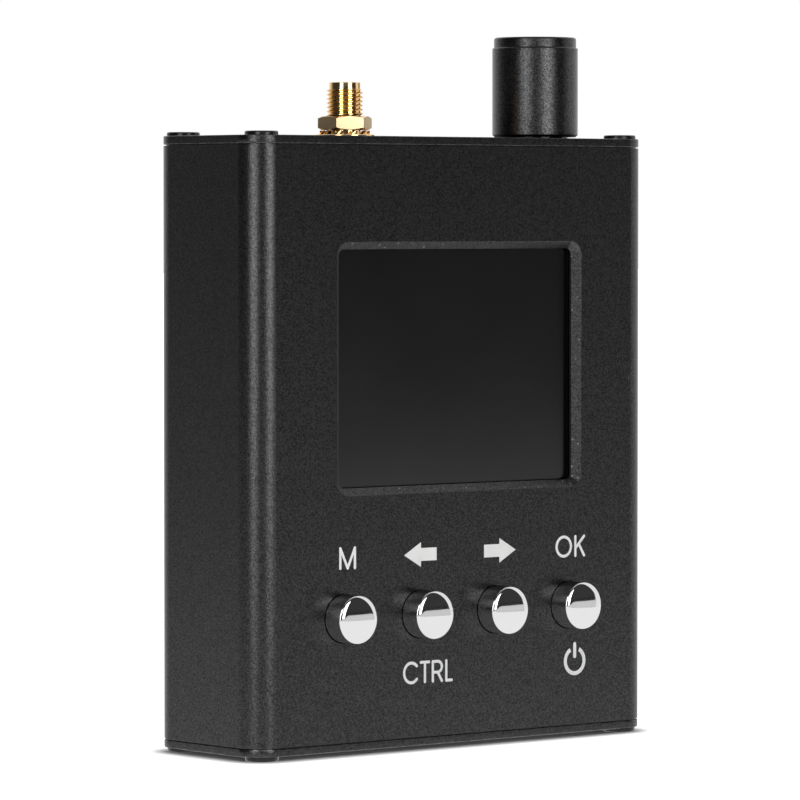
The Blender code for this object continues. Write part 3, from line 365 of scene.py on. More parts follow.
def add_object(name, data):
    item = bpy.data.objects.new(name, data)
    bpy.context.scene.collection.objects.link(item)
    return item


def pushed(shape, faces, rise):
    """Extrudes some faces along Z."""
    grown = bmesh.ops.extrude_face_region(shape, geom=faces)
    ends = [item for item in grown["geom"] if isinstance(item, bmesh.types.BMVert)]
    bmesh.ops.translate(shape, verts=ends, vec=(0, 0, rise))


def swept(shape, geom, angle, steps, **more):
    """Sweeps some geometry about Z."""
    bmesh.ops.spin(shape, geom=geom, cent=(0, 0, 0), axis=(0, 0, 1), angle=angle, steps=steps, **more)


def block(low, high):
    """A box from its lowest to its highest corner."""
    low = Vector(low)
    high = Vector(high)
    shape = bmesh.new()
    bmesh.ops.create_cube(shape, size=1.0)
    bmesh.ops.scale(shape, vec=high - low, verts=shape.verts)
    bmesh.ops.translate(shape, vec=(low + high) / 2, verts=shape.verts)
    return shape


def bevelled(shape, geom, width, segments, affect="EDGES"):
    """Rounds some edges, or the corners of a flat shape, and returns the new faces."""
    made = bmesh.ops.bevel(
        shape,
        geom=geom,
        offset=width,
        offset_type="OFFSET",
        affect=affect,
        segments=segments,
        profile=0.5,
        material=-1,
        clamp_overlap=True,
    )
    return made["faces"]


def upright_edges(shape):
    return [edge for edge in shape.edges if abs(edge.verts[0].co.z - edge.verts[1].co.z) > MERGE]


def rounded_block(low, high, corner):
    """A box whose upright edges are rounded."""
    shape = block(low, high)
    bevelled(shape, upright_edges(shape), corner, CORNER_SEGMENTS)
    return shape


def rod(radius, low, high, sides):
    """A closed cylinder about Z."""
    shape = bmesh.new()
    bmesh.ops.create_cone(
        shape, cap_ends=True, segments=sides, radius1=radius, radius2=radius, depth=high - low
    )
    return moved(shape, z=(low + high) / 2)


def turned(profile, sides, ring=False):
    """A solid of revolution about Z from (radius, height) points; a ring's profile is closed."""
    shape = bmesh.new()
    points = [shape.verts.new((radius, 0, height)) for radius, height in profile]
    pairs = list(zip(points, points[1:]))
    if ring:
        pairs.append((points[-1], points[0]))
    edges = [shape.edges.new(pair) for pair in pairs]
    swept(shape, points + edges, math.tau, sides, use_merge=True)
    bmesh.ops.remove_doubles(shape, verts=shape.verts, dist=MERGE)
    bmesh.ops.recalc_face_normals(shape, faces=shape.faces)
    return shape


def arc(radius, height, bend, start, end):
    """Profile points of a round of the given bend about a (radius, height) centre."""
    angles = [start + (end - start) * step / ARC_STEPS for step in range(ARC_STEPS + 1)]
    return [(radius + bend * math.cos(angle), height + bend * math.sin(angle)) for angle in angles]


def gathered(shapes):
    """Several shapes in one, which are used up."""
    whole = bmesh.new()
    for shape in shapes:
        mesh = mesh_of("gathered", shape)
        whole.from_mesh(mesh)
        bpy.data.meshes.remove(mesh)
    return whole


def combined(shape, tool, operation):
    """The Boolean of two closed shapes, which are used up."""
    target = add_object("target", mesh_of("target", shape))
    cutter = add_object("tool", mesh_of("tool", tool))
    modifier = target.modifiers.new("combine", "BOOLEAN")
    modifier.operation = operation
    modifier.object = cutter
    bpy.context.view_layer.update()
    result = bmesh.new()
    result.from_object(target, bpy.context.evaluated_depsgraph_get())
    for item in (target, cutter):
        mesh = item.data
        bpy.data.objects.remove(item)
        bpy.data.meshes.remove(mesh)
    bmesh.ops.remove_doubles(result, verts=result.verts, dist=MERGE)
    return result


def cut(shape, tool):
    return combined(shape, tool, "DIFFERENCE")


def mark(shape, faces, name):
    """Sets a face attribute to 1 on some of the faces, for the materials to read."""
    shape.faces.index_update()
    places = [face.index for face in faces]
    layer = shape.faces.layers.float.get(name) or shape.faces.layers.float.new(name)
    shape.faces.ensure_lookup_table()
    for place in places:
        shape.faces[place][layer] = 1.0


# Pieces

def slot_of(node):
    for part in frame["record"]["subparts"]:
        if part["node"] == node:
            return part["material_slot"]
    raise ValueError(node)


def middle_of(node):
    low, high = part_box(node)
    return (low + high) / 2


def add_piece(name, shape, material, body, flat_faces=False):
    """One piece of the looks from a shape, which is used up."""
    mesh = mesh_of(name, shape)
    mesh.shade_smooth()
    mesh.set_sharp_from_angle(angle=SMOOTH_ANGLE)
    mesh.materials.append(material)
    item = add_object(name, mesh)
    if flat_faces:
        modifier = item.modifiers.new("flat faces", "WEIGHTED_NORMAL")
        modifier.keep_sharp = True
    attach(item, body)
    return item


def replace_node(node, shape, finishes, flat_faces=False, finish=None):
    """A finer shape in the place of a CAD node, on its body and in its slot's finish or another."""
    slot = slot_of(node)
    body = body_of(frame["nodes"][node])[0]
    item = add_piece(f"{node}_finished", shape, finishes[finish or slot], body, flat_faces)
    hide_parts(node)
    return item


# Case

def on_case_outline(point):
    """True on the outer surface of the sleeve's cross-section."""
    out_x = abs(point.x) - (SLEEVE_HIGH.x - CASE_CORNER)
    out_y = abs(point.y - MIDDLE) - (SLEEVE_HIGH.y - MIDDLE - CASE_CORNER)
    outside = math.hypot(max(out_x, 0), max(out_y, 0)) + min(max(out_x, out_y), 0)
    return abs(outside - CASE_CORNER) < OUTLINE_TOLERANCE


def sharp_edges(shape, on_rim):
    """Sharp edges whose two ends both pass a test."""
    found = []
    for edge in shape.edges:
        if all(on_rim(vert.co) for vert in edge.verts) and len(edge.link_faces) == 2:
            if edge.calc_face_angle() > SMOOTH_ANGLE:
                found.append(edge)
    return found


def end_rim(shape, height):
    """Edges of the case outline at one height."""
    return sharp_edges(shape, lambda place: abs(place.z - height) < NEAR and on_case_outline(place))


def front_rims(shape):
    """Edges of the openings where they meet the panel face."""
    return sharp_edges(shape, lambda place: abs(place.y - FRONT) < NEAR)


def screw_axes():
    """Places of the four screws of an end plate, in plan."""
    corners = [f"{row}_{side}" for row in ("front", "back") for side in ("left", "right")]
    return [middle_of(f"top_screw_{corner}") for corner in corners]


def screw_rods(radius, low, high):
    """Upright rods on the four screw axes."""
    return [moved(rod(radius, low, high, SMALL_SIDES), place.x, place.y) for place in screw_axes()]


def sleeve_bore():
    """The hollow of the sleeve, with its screw channels and board ribs left out."""
    low = SLEEVE_LOW + Vector((CASE_WALL, CASE_WALL, -OVERCUT))
    high = SLEEVE_HIGH - Vector((CASE_WALL, CASE_WALL, -OVERCUT))
    shape = rounded_block(low, high, CASE_CORNER - CASE_WALL)
    bottom = low.z - OVERCUT
    top = high.z + OVERCUT
    kept = screw_rods(CHANNEL_RADIUS + CHANNEL_WALL, bottom, top)
    board_low, board_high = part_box("main_board")
    inner = high.x - RIB_REACH
    outer = high.x + CASE_WALL / 2
    for near in (board_low.y - RIB_GAP - RIB_THICKNESS, board_high.y + RIB_GAP):
        far = near + RIB_THICKNESS
        kept.append(block((inner, near, bottom), (outer, far, top)))
        kept.append(block((-outer, near, bottom), (-inner, far, top)))
    return cut(shape, gathered(kept))


def window_opening():
    """Cutter for the screen opening: a 45 degree chamfer that runs into a straight land."""
    shape = bmesh.new()
    bmesh.ops.create_grid(shape, x_segments=1, y_segments=1, size=0.5)
    size = (WINDOW_WIDTH + 2 * OVERCUT, WINDOW_HEIGHT + 2 * OVERCUT, 1)
    bmesh.ops.scale(shape, vec=size, verts=shape.verts)
    bevelled(shape, shape.verts[:], WINDOW_CORNER + OVERCUT, CORNER_SEGMENTS, "VERTICES")
    shape.normal_update()
    taper = OVERCUT + WINDOW_CHAMFER
    bmesh.ops.inset_region(
        shape,
        faces=shape.faces[:],
        thickness=taper,
        depth=-taper,
        use_boundary=True,
        use_even_offset=True,
    )
    floor = min(shape.faces, key=lambda face: face.calc_center_median().z)
    pushed(shape, [floor], WINDOW_CHAMFER - CASE_WALL - OVERCUT)
    bmesh.ops.delete(shape, geom=[floor], context="FACES_ONLY")
    rim = [edge for edge in shape.edges if edge.is_boundary]
    bmesh.ops.contextual_create(shape, geom=rim)
    bmesh.ops.recalc_face_normals(shape, faces=shape.faces)
    place = Matrix.Translation((WINDOW_X, FRONT - OVERCUT, WINDOW_Z))
    return transformed(shape, place @ TURN_TO_FRONT)


def window_facets(shape):
    """Faces of the chamfer round the screen opening."""
    shape.normal_update()
    slope = math.cos(QUARTER / 2)
    facets = []
    for face in shape.faces:
        away = face.calc_center_median() - Vector((WINDOW_X, 0, WINDOW_Z))
        inside = abs(away.x) < WINDOW_WIDTH / 2 and abs(away.z) < WINDOW_HEIGHT / 2
        if inside and abs(face.normal.y + slope) < FACET_SLOPE_TOLERANCE:
            facets.append(face)
    return facets


def key_holes():
    holes = []
    for name in KEY_NAMES:
        place = middle_of(f"{name}_key_cap")
        hole = rod(KEY_RADIUS + KEY_CLEARANCE, -CASE_WALL - OVERCUT, OVERCUT, KEY_SIDES)
        transformed(hole, TURN_TO_FRONT)
        holes.append(moved(hole, place.x, FRONT, place.z))
    return holes


def make_sleeve(finishes):
    shape = rounded_block(SLEEVE_LOW, SLEEVE_HIGH, CASE_CORNER)
    shape = cut(shape, sleeve_bore())
    channels = screw_rods(CHANNEL_RADIUS, SLEEVE_LOW.z - OVERCUT, SLEEVE_HIGH.z + OVERCUT)
    shape = cut(shape, gathered([window_opening()] + key_holes() + channels))
    mark(shape, window_facets(shape), "facet")
    mark(shape, bevelled(shape, front_rims(shape), WINDOW_EDGE, EDGE_SEGMENTS), "edge")
    for height in (SLEEVE_LOW.z, SLEEVE_HIGH.z):
        mark(shape, bevelled(shape, end_rim(shape, height), SLEEVE_EDGE, EDGE_SEGMENTS), "edge")
    replace_node("case_sleeve", shape, finishes, flat_faces=True)


def make_plate(node, seat_low, seat_high, holes, finishes):
    """An end plate with broken edges, its holes, and the step that closes its seam to the sleeve."""
    low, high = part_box(node)
    if seat_low < low.z:
        low.z -= PLATE_SEAM_CLOSED
        high.z += PLATE_PROUD
    else:
        high.z += PLATE_SEAM_CLOSED
    shape = rounded_block(low, high, CASE_CORNER)
    inset = Vector((PLATE_SEAT_INSET, PLATE_SEAT_INSET, 0))
    step_low = Vector((low.x, low.y, seat_low)) + inset
    step_high = Vector((high.x, high.y, seat_high)) - inset
    step = rounded_block(step_low, step_high, CASE_CORNER - PLATE_SEAT_INSET)
    shape = combined(shape, step, "UNION")
    shape = cut(shape, gathered(holes))
    for height in (low.z, high.z):
        mark(shape, bevelled(shape, end_rim(shape, height), PLATE_EDGE, EDGE_SEGMENTS), "edge")
    replace_node(node, shape, finishes, flat_faces=True)


def plate_hole(node, radius, place):
    low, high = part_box(node)
    return moved(rod(radius, low.z - OVERCUT, high.z + OVERCUT, SOCKET_SIDES), place.x, place.y)


def make_plates(finishes):
    holes = [plate_hole("top_plate", CHANNEL_RADIUS, place) for place in screw_axes()]
    holes.append(plate_hole("top_plate", THREAD_RADIUS, middle_of("coax_socket_nut")))
    holes.append(plate_hole("top_plate", BUSHING_HOLE, middle_of("encoder_nut")))
    make_plate("top_plate", SLEEVE_HIGH.z, middle_of("top_plate").z, holes, finishes)

    holes = [plate_hole("bottom_plate", CHANNEL_RADIUS, place) for place in screw_axes()]
    slot_low, slot_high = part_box("charging_socket_shell")
    gap = Vector((CHARGING_SLOT_GAP, CHARGING_SLOT_GAP, 0))
    slot = rounded_block(
        Vector((slot_low.x, slot_low.y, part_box("bottom_plate")[0].z - OVERCUT)) - gap,
        Vector((slot_high.x, slot_high.y, SLEEVE_LOW.z + OVERCUT)) + gap,
        CHARGING_SLOT_CORNER,
    )
    make_plate("bottom_plate", middle_of("bottom_plate").z, SLEEVE_LOW.z, holes + [slot], finishes)


# Screws

def cross_arm(turn):
    """One tapered arm of the cross recess; z = 0 is the top of the head."""
    half = SCREW_CROSS_LENGTH / 2
    side = SCREW_CROSS_WIDTH / 2
    shape = block((-half, -side, -SCREW_CROSS_DEPTH), (half, side, OVERCUT))
    for vert in shape.verts:
        if vert.co.z < 0:
            vert.co.x *= SCREW_CROSS_TAPER
    return transformed(shape, Matrix.Rotation(turn, 4, "Z"))


def screw_shape(head_radius, head_height, length):
    """A low head with a cross recess; z = 0 is the face that it seats on."""
    top = head_height - SCREW_HEAD_EDGE
    profile = [
        (0, -length),
        (SCREW_SHANK_RADIUS - SCREW_POINT, -length),
        (SCREW_SHANK_RADIUS, SCREW_POINT - length),
        (SCREW_SHANK_RADIUS, 0),
        (head_radius, 0),
    ]
    profile += arc(head_radius - SCREW_HEAD_EDGE, top, SCREW_HEAD_EDGE, 0, QUARTER)
    profile.append((0, head_height))
    shape = turned(profile, SOCKET_SIDES)
    for turn in (0, QUARTER):
        shape = cut(shape, moved(cross_arm(turn), z=head_height))
    return shape


def make_screws(finishes):
    low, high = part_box("top_screw_front_left")
    radius = (high.x - low.x) / 2
    length = PLATE_TOP - low.z
    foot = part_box("bottom_plate")[0].z
    ends = (
        ("top", screw_shape(radius, high.z - PLATE_FACE, length), PLATE_FACE, Matrix()),
        ("bottom", screw_shape(radius, foot, length), foot, TURN_OVER),
    )
    for corner, turn in SCREW_TURNS.items():
        for end, pattern, seat, over in ends:
            node = f"{end}_screw_{corner}"
            place = middle_of(node)
            matrix = Matrix.Translation((place.x, place.y, seat)) @ Matrix.Rotation(turn, 4, "Z") @ over
            replace_node(node, transformed(pattern.copy(), matrix), finishes)
    for _, pattern, _, _ in ends:
        pattern.free()


# Keys

def key_shape(proud, depth):
    """A turned cap with a domed face and a soft shoulder; z = 0 is the panel face, +z points out of it."""
    start = math.atan(KEY_SHOULDER_REACH / KEY_SHOULDER_DROP * math.tan(KEY_DOME_TILT))
    shoulder = KEY_RADIUS - KEY_SHOULDER_REACH
    dome_edge = shoulder + KEY_SHOULDER_REACH * math.sin(start)
    dome = dome_edge / math.sin(KEY_DOME_TILT)
    dome_middle = proud - dome
    shoulder_height = dome_middle + dome * math.cos(KEY_DOME_TILT) - KEY_SHOULDER_DROP * math.cos(start)
    profile = [
        (0, -KEY_WELL_FLOOR),
        (KEY_WELL_RADIUS, -KEY_WELL_FLOOR),
        (KEY_WELL_RADIUS, -depth),
        (KEY_TAIL_RADIUS, -depth),
        (KEY_TAIL_RADIUS, -KEY_LIP_BACK),
        (KEY_RADIUS + KEY_LIP_BACK - KEY_LIP_FRONT, -KEY_LIP_BACK),
        (KEY_RADIUS + KEY_LIP_BACK - KEY_LIP_FRONT, -KEY_LIP_FRONT),
        (KEY_RADIUS, -KEY_LIP_FRONT),
    ]
    for across, along in arc(0, 0, 1, 0, QUARTER - start):
        radius = shoulder + KEY_SHOULDER_REACH * across
        profile.append((radius, shoulder_height + KEY_SHOULDER_DROP * along))
    crown = arc(0, dome_middle, dome, QUARTER - KEY_DOME_TILT, QUARTER)
    profile += crown[1:-1]
    profile.append((0, proud))
    return turned(profile, KEY_SIDES)


def make_keys(finishes):
    for name in KEY_NAMES:
        node = f"{name}_key_cap"
        low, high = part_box(node)
        shape = transformed(key_shape(FRONT - low.y, high.y - FRONT), TURN_TO_FRONT)
        place = middle_of(node)
        replace_node(node, moved(shape, place.x, FRONT, place.z), finishes)


# Coaxial socket

def thread_ridge(low):
    """A right-hand helical ridge about Z that starts at a height; its ends are trimmed by the caller."""
    root = THREAD_RADIUS - THREAD_DEPTH - THREAD_SINK
    base = THREAD_BASE * THREAD_PITCH
    crest = THREAD_CREST * THREAD_PITCH
    outline = [(root, -base), (THREAD_RADIUS, -crest), (THREAD_RADIUS, crest), (root, base)]
    shape = bmesh.new()
    section = shape.faces.new([shape.verts.new((radius, 0, low + height)) for radius, height in outline])
    section = [section] + section.edges[:] + section.verts[:]
    climb = (0, 0, THREAD_PITCH / THREAD_STEPS)
    swept(shape, section, math.tau * THREAD_TURNS, THREAD_STEPS * THREAD_TURNS, dvec=climb)
    bmesh.ops.recalc_face_normals(shape, faces=shape.faces)
    return shape


def trimmed(shape, height):
    """Cuts off what stands above a height and closes the cut."""
    bmesh.ops.bisect_plane(
        shape,
        geom=shape.verts[:] + shape.edges[:] + shape.faces[:],
        plane_co=(0, 0, height),
        plane_no=(0, 0, 1),
        clear_outer=True,
    )
    bmesh.ops.holes_fill(shape, edges=[edge for edge in shape.edges if edge.is_boundary])
    bmesh.ops.recalc_face_normals(shape, faces=shape.faces)
    return shape


def socket_barrel(rise, flange_middle):
    """Turned outer body without its thread; z = 0 is the top face of the top plate."""
    root = THREAD_RADIUS - THREAD_DEPTH
    shoulder = rise - PILOT_LENGTH
    profile = [
        (SOCKET_BORE, flange_middle),
        (root, flange_middle),
        (root, shoulder - PILOT_EDGE),
        (root - PILOT_EDGE, shoulder),
        (PILOT_RADIUS, shoulder),
    ]
    profile += arc(PILOT_RADIUS - PILOT_EDGE, rise - PILOT_EDGE, PILOT_EDGE, 0, QUARTER)
    profile += [
        (MOUTH_RADIUS + PILOT_EDGE, rise),
        (MOUTH_RADIUS, rise - PILOT_EDGE),
        (MOUTH_RADIUS, rise - MOUTH_DEPTH),
        (SOCKET_BORE, rise - MOUTH_DEPTH),
    ]
    return turned(profile, SOCKET_SIDES, ring=True)


def socket_flange(half, bottom, prong_bottom):
    """The square flange under the plate, and the four prongs that grip the board."""
    top = bottom + FLANGE_THICKNESS
    shape = block((-half, -half, bottom), (half, half, top))
    bevelled(shape, upright_edges(shape), FLANGE_CORNER, FLANGE_SEGMENTS)
    shape = cut(shape, rod(SOCKET_BORE, bottom - OVERCUT, top + OVERCUT, SOCKET_SIDES))
    board_low, board_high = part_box("main_board")
    front = board_low.y - RIB_GAP - MIDDLE
    back = board_high.y + RIB_GAP - MIDDLE
    parts = [shape]
    for side in (-PRONG_SPREAD, PRONG_SPREAD):
        for near, far in ((front - PRONG_WIDTH, front), (back, back + PRONG_WIDTH)):
            low = (side - PRONG_WIDTH / 2, near, prong_bottom)
            prong = block(low, (side + PRONG_WIDTH / 2, far, bottom + FLANGE_THICKNESS / 2))
            bevelled(prong, upright_edges(prong), PRONG_CORNER, PRONG_SEGMENTS)
            parts.append(prong)
    return parts


def make_socket_body(finishes, axis):
    low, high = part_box("coax_socket_body")
    rise = high.z - PLATE_TOP
    flange_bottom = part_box("coax_socket_insulator")[0].z - PLATE_TOP
    barrel = socket_barrel(rise, flange_bottom + FLANGE_THICKNESS / 2)
    shoulder = rise - PILOT_LENGTH
    ridge = trimmed(thread_ridge(shoulder - (THREAD_TURNS - THREAD_RUNOUT) * THREAD_PITCH), shoulder)
    parts = [barrel, ridge] + socket_flange((high.x - low.x) / 2, flange_bottom, low.z - PLATE_TOP)
    replace_node("coax_socket_body", moved(gathered(parts), *axis), finishes)


def make_socket_core(finishes, axis):
    """Insulator and slotted centre contact."""
    low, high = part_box("coax_socket_insulator")
    bottom = low.z - PLATE_TOP
    top = high.z - PLATE_TOP
    inner = CONTACT_RADIUS + CONTACT_GAP
    tube = [(inner, bottom), (INSULATOR_RADIUS, bottom)]
    tube += arc(INSULATOR_RADIUS - PILOT_EDGE, top - PILOT_EDGE, PILOT_EDGE, 0, QUARTER)
    tube.append((inner, top))
    replace_node("coax_socket_insulator", moved(turned(tube, SOCKET_SIDES, ring=True), *axis), finishes)

    tail_low, tail_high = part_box("coax_socket_contact")
    end = tail_low.z - PLATE_TOP
    top = tail_high.z - PLATE_TOP
    well = top - CONTACT_DEPTH
    profile = [(0, end), (CONTACT_TAIL, end), (CONTACT_TAIL, bottom), (CONTACT_RADIUS, bottom)]
    profile += arc(CONTACT_RADIUS - CONTACT_EDGE, top - CONTACT_EDGE, CONTACT_EDGE, 0, QUARTER)
    profile += [(CONTACT_BORE + CONTACT_EDGE, top), (CONTACT_BORE, top - CONTACT_EDGE)]
    profile += [(CONTACT_BORE, well), (0, well)]
    shape = turned(profile, SMALL_SIDES)
    half = CONTACT_SLOT / 2
    for turn in (0, QUARTER):
        slit = block((-OVERCUT, -half, well), (OVERCUT, half, top + OVERCUT))
        shape = cut(shape, transformed(slit, Matrix.Rotation(turn, 4, "Z")))
    replace_node("coax_socket_contact", moved(shape, *axis), finishes)


def nut_shape(bottom, top):
    """A hexagon nut whose corners are bevelled on both faces."""
    corner = NUT_FLAT_RADIUS / math.cos(math.pi / NUT_SIDES)
    shape = transformed(rod(corner, bottom, top, NUT_SIDES), Matrix.Rotation(NUT_TURN - QUARTER, 4, "Z"))
    bevelled(shape, upright_edges(shape), NUT_EDGE, EDGE_SEGMENTS)
    reach = corner + OVERCUT
    drop = (reach - NUT_FLAT_RADIUS) * math.tan(NUT_BEVEL)
    profile = [
        (0, bottom),
        (NUT_FLAT_RADIUS - NUT_EASE, bottom),
        (reach, bottom + drop),
        (reach, top - drop),
        (NUT_FLAT_RADIUS - NUT_EASE, top),
        (0, top),
    ]
    shape = combined(shape, turned(profile, KEY_SIDES), "INTERSECT")
    return cut(shape, rod(THREAD_RADIUS, bottom - OVERCUT, top + OVERCUT, SOCKET_SIDES))


def washer_tooth(index, middle):
    """One twisted tooth of the lock washer."""
    half = WASHER_TOOTH_WIDTH / 2
    sheet = WASHER_SHEET / 2
    tooth = block((WASHER_TOOTH_INNER, -half, -sheet), (WASHER_TOOTH_OUTER, half, sheet))
    bevelled(tooth, tooth.edges[:], WASHER_TOOTH_EDGE, EDGE_SEGMENTS)
    transformed(tooth, Matrix.Rotation(WASHER_TWIST, 4, "X"))
    moved(tooth, z=middle)
    return transformed(tooth, Matrix.Rotation(math.tau * index / WASHER_TEETH, 4, "Z"))


def make_socket_fixings(finishes, axis):
    """The nut, and the lock washer whose twisted teeth bite under it."""
    low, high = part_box("coax_socket_nut")
    bottom = low.z - PLATE_TOP
    shape = nut_shape(bottom, high.z - PLATE_TOP)
    replace_node("coax_socket_nut", moved(shape, *axis), finishes, True, "satin_gold")

    rim_low, rim_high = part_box("coax_socket_lock_washer")
    rim = (rim_high.x - rim_low.x) / 2
    ease = rim - WASHER_EDGE
    sheet = PLATE_PROUD + WASHER_SHEET
    bore = WASHER_TOOTH_OUTER - WASHER_TOOTH_ROOT
    ring = [(bore, PLATE_PROUD), (ease, PLATE_PROUD), (rim, PLATE_PROUD + WASHER_EDGE)]
    ring += [(rim, sheet - WASHER_EDGE), (ease, sheet), (bore, sheet)]
    parts = [turned(ring, SOCKET_SIDES, ring=True)]
    middle = (PLATE_PROUD + bottom) / 2
    parts += [washer_tooth(index, middle) for index in range(WASHER_TEETH)]
    replace_node("coax_socket_lock_washer", moved(gathered(parts), *axis), finishes)


def make_socket(finishes):
    place = middle_of("coax_socket_nut")
    axis = (place.x, place.y, PLATE_TOP)
    make_socket_body(finishes, axis)
    make_socket_core(finishes, axis)
    make_socket_fixings(finishes, axis)


# Knob

def make_knob(finishes):
    low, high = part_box("knob")
    place = middle_of("knob")
    radius = (high.x - low.x) / 2
    top = high.z
    bottom = low.z
    crown = radius - KNOB_CROWN_STEP
    step = top - KNOB_CROWN_HEIGHT
    fillet = KNOB_STEP_FILLET
    profile = [
        (0, top - KNOB_ROOF),
        (KNOB_BORE, top - KNOB_ROOF),
        (KNOB_BORE, bottom + KNOB_HOLLOW_DEPTH),
        (KNOB_HOLLOW, bottom + KNOB_HOLLOW_DEPTH),
        (KNOB_HOLLOW, bottom),
    ]
    profile += [(radius - KNOB_FOOT_EDGE, bottom), (radius, bottom + KNOB_FOOT_EDGE)]
    profile += arc(radius - fillet, step - KNOB_CROWN_STEP - fillet, fillet, 0, QUARTER / 2)
    profile.append((crown, step - fillet))
    profile += arc(crown - KNOB_EDGE, top - KNOB_EDGE, KNOB_EDGE, 0, QUARTER)
    profile.append((0, top))
    shape = moved(turned(profile, KNOB_SIDES), place.x, place.y)
    grub = middle_of("knob_grub_screw")
    hole = rod(GRUB_HOLE_RADIUS, 0, radius, SMALL_SIDES)
    transformed(hole, Matrix.Rotation(-QUARTER, 4, "X"))
    shape = cut(shape, moved(hole, place.x, place.y + KNOB_BORE / 2, grub.z))
    replace_node("knob", shape, finishes, True, "blasted_knob")


# Printed legends, drawn flat in (x, height) and then stood on the panel

def inked(shape):
    """Gives flat ink its thickness; z = 0 is the panel face."""
    pushed(shape, shape.faces[:], INK_RISE + INK_SINK)
    bmesh.ops.translate(shape, verts=shape.verts, vec=(0, 0, -INK_SINK))
    bmesh.ops.recalc_face_normals(shape, faces=shape.faces)
    return shape


def stroke(start, end, width=INK_STROKE):
    """A straight pen stroke with round ends."""
    shape = bmesh.new()
    bmesh.ops.create_circle(shape, cap_ends=True, segments=PEN_SIDES, radius=width / 2)
    span = Vector(end) - Vector(start)
    far = [vert for vert in shape.verts if vert.co.x > 0]
    bmesh.ops.translate(shape, verts=far, vec=(span.length, 0, 0))
    turn = Matrix.Rotation(math.atan2(span.y, span.x), 4, "Z")
    transformed(shape, Matrix.Translation((start[0], start[1], 0)) @ turn)
    return inked(shape)


def bowl(centre, reach_x, reach_y, start, end, width=INK_STROKE):
    """A curved pen stroke along part of an oval, from one angle to another."""
    half = width / (reach_x + reach_y)
    shape = bmesh.new()
    ends = [shape.verts.new((radius, 0, 0)) for radius in (1 - half, 1 + half)]
    edge = shape.edges.new(ends)
    closed = math.isclose(end - start, math.tau)
    swept(shape, ends + [edge], end - start, BOWL_STEPS, use_merge=closed)
    transformed(shape, Matrix.Rotation(start, 4, "Z"))
    bmesh.ops.scale(shape, vec=(reach_x, reach_y, 1), verts=shape.verts)
    return inked(moved(shape, centre[0], centre[1]))


def print_legend(name, strokes, finishes):
    """Joins the strokes, each a trace thicker than the last, and stands them on the panel."""
    shape = strokes[0]
    for index, part in enumerate(strokes[1:], 1):
        bmesh.ops.scale(part, vec=(1, 1, 1 + INK_STEP * index), verts=part.verts)
        shape = combined(shape, part, "UNION")
    transformed(shape, Matrix.Translation((0, FRONT, 0)) @ TURN_TO_FRONT)
    add_piece(name, shape, finishes["ink"], "case")


def letter_m(left, right, low, high):
    middle = (left + right) / 2
    return [
        stroke((left, low), (left, high)),
        stroke((left, high), (middle, low)),
        stroke((middle, low), (right, high)),
        stroke((right, low), (right, high)),
    ]


def letter_o(left, right, low, high):
    centre = ((left + right) / 2, (low + high) / 2)
    return [bowl(centre, (right - left) / 2, (high - low) / 2, 0, math.tau)]


def letter_k(left, right, low, high):
    join = (left, low + (high - low) * K_JOIN)
    fork = Vector(join).lerp(Vector((right, high)), K_FORK)
    return [stroke((left, low), (left, high)), stroke(join, (right, high)), stroke(fork, (right, low))]


def letter_c(left, right, low, high):
    reach_x = (right - left) * C_REACH
    reach_y = (high - low) / 2
    centre = (left + reach_x, (low + high) / 2)
    strokes = [bowl(centre, reach_x, reach_y, C_OPENING, math.tau - C_OPENING)]
    tip_x = centre[0] + reach_x * math.cos(C_OPENING)
    for side in (1, -1):
        tip_y = centre[1] + side * reach_y * math.sin(C_OPENING)
        strokes.append(stroke((tip_x, tip_y), (tip_x + PEN_DOT, tip_y)))
    return strokes


def letter_t(left, right, low, high):
    middle = (left + right) / 2
    return [stroke((left, high), (right, high)), stroke((middle, low), (middle, high))]


def letter_r(left, right, low, high):
    waist = low + (high - low) * R_WAIST
    bend = (high - waist) / 2
    turn_x = right - bend
    return [
        stroke((left, low), (left, high)),
        stroke((left, high), (turn_x, high)),
        stroke((left, waist), (turn_x, waist)),
        bowl((turn_x, waist + bend), bend, bend, -QUARTER, QUARTER),
        stroke((turn_x, waist), (right, low)),
    ]


def letter_l(left, right, low, high):
    return [stroke((left, low), (left, high)), stroke((left, low), (right, low))]


LETTERS = {
    "M": letter_m,
    "O": letter_o,
    "K": letter_k,
    "C": letter_c,
    "T": letter_t,
    "R": letter_r,
    "L": letter_l,
}


def word(letters, base):
    """Pen strokes of some letters, with the pen's edge on the sides of each one."""
    half = INK_STROKE / 2
    strokes = []
    for letter in letters:
        left, right = LETTER_SIDES[letter]
        draw = LETTERS[letter]
        strokes += draw(left + half, right - half, base + half, base + LEGEND_HEIGHT - half)
    return strokes


def arrow(tip, head, tail):
    """A filled arrow along x."""
    upper = [(head, ARROW_HEAD_HALF), (head, ARROW_SHAFT_HALF), (tail, ARROW_SHAFT_HALF)]
    lower = [(x, -y) for x, y in reversed(upper)]
    shape = bmesh.new()
    outline = [(tip, 0)] + upper + lower
    shape.faces.new([shape.verts.new((x, ARROW_RISE + y, 0)) for x, y in outline])
    return [inked(shape)]


def power_sign():
    """A ring with a gap at its top, and a bar in the gap."""
    x, height = POWER_PLACE
    start = QUARTER + POWER_GAP
    end = QUARTER + math.tau - POWER_GAP
    bar = [(x, height + rise) for rise in POWER_BAR]
    return [bowl(POWER_PLACE, POWER_RING, POWER_RING, start, end, POWER_PEN), stroke(*bar, POWER_PEN)]


def make_legends(finishes):
    legends = {
        "legend_menu": word("M", LEGEND_BASE),
        "legend_enter": word("OK", LEGEND_BASE),
        "legend_left": arrow(*LEFT_ARROW),
        "legend_right": arrow(*RIGHT_ARROW),
        "legend_control": word("CTRL", LOWER_LEGEND_BASE),
        "legend_power": power_sign(),
    }
    for name, strokes in legends.items():
        print_legend(name, strokes, finishes)


# Material nodes

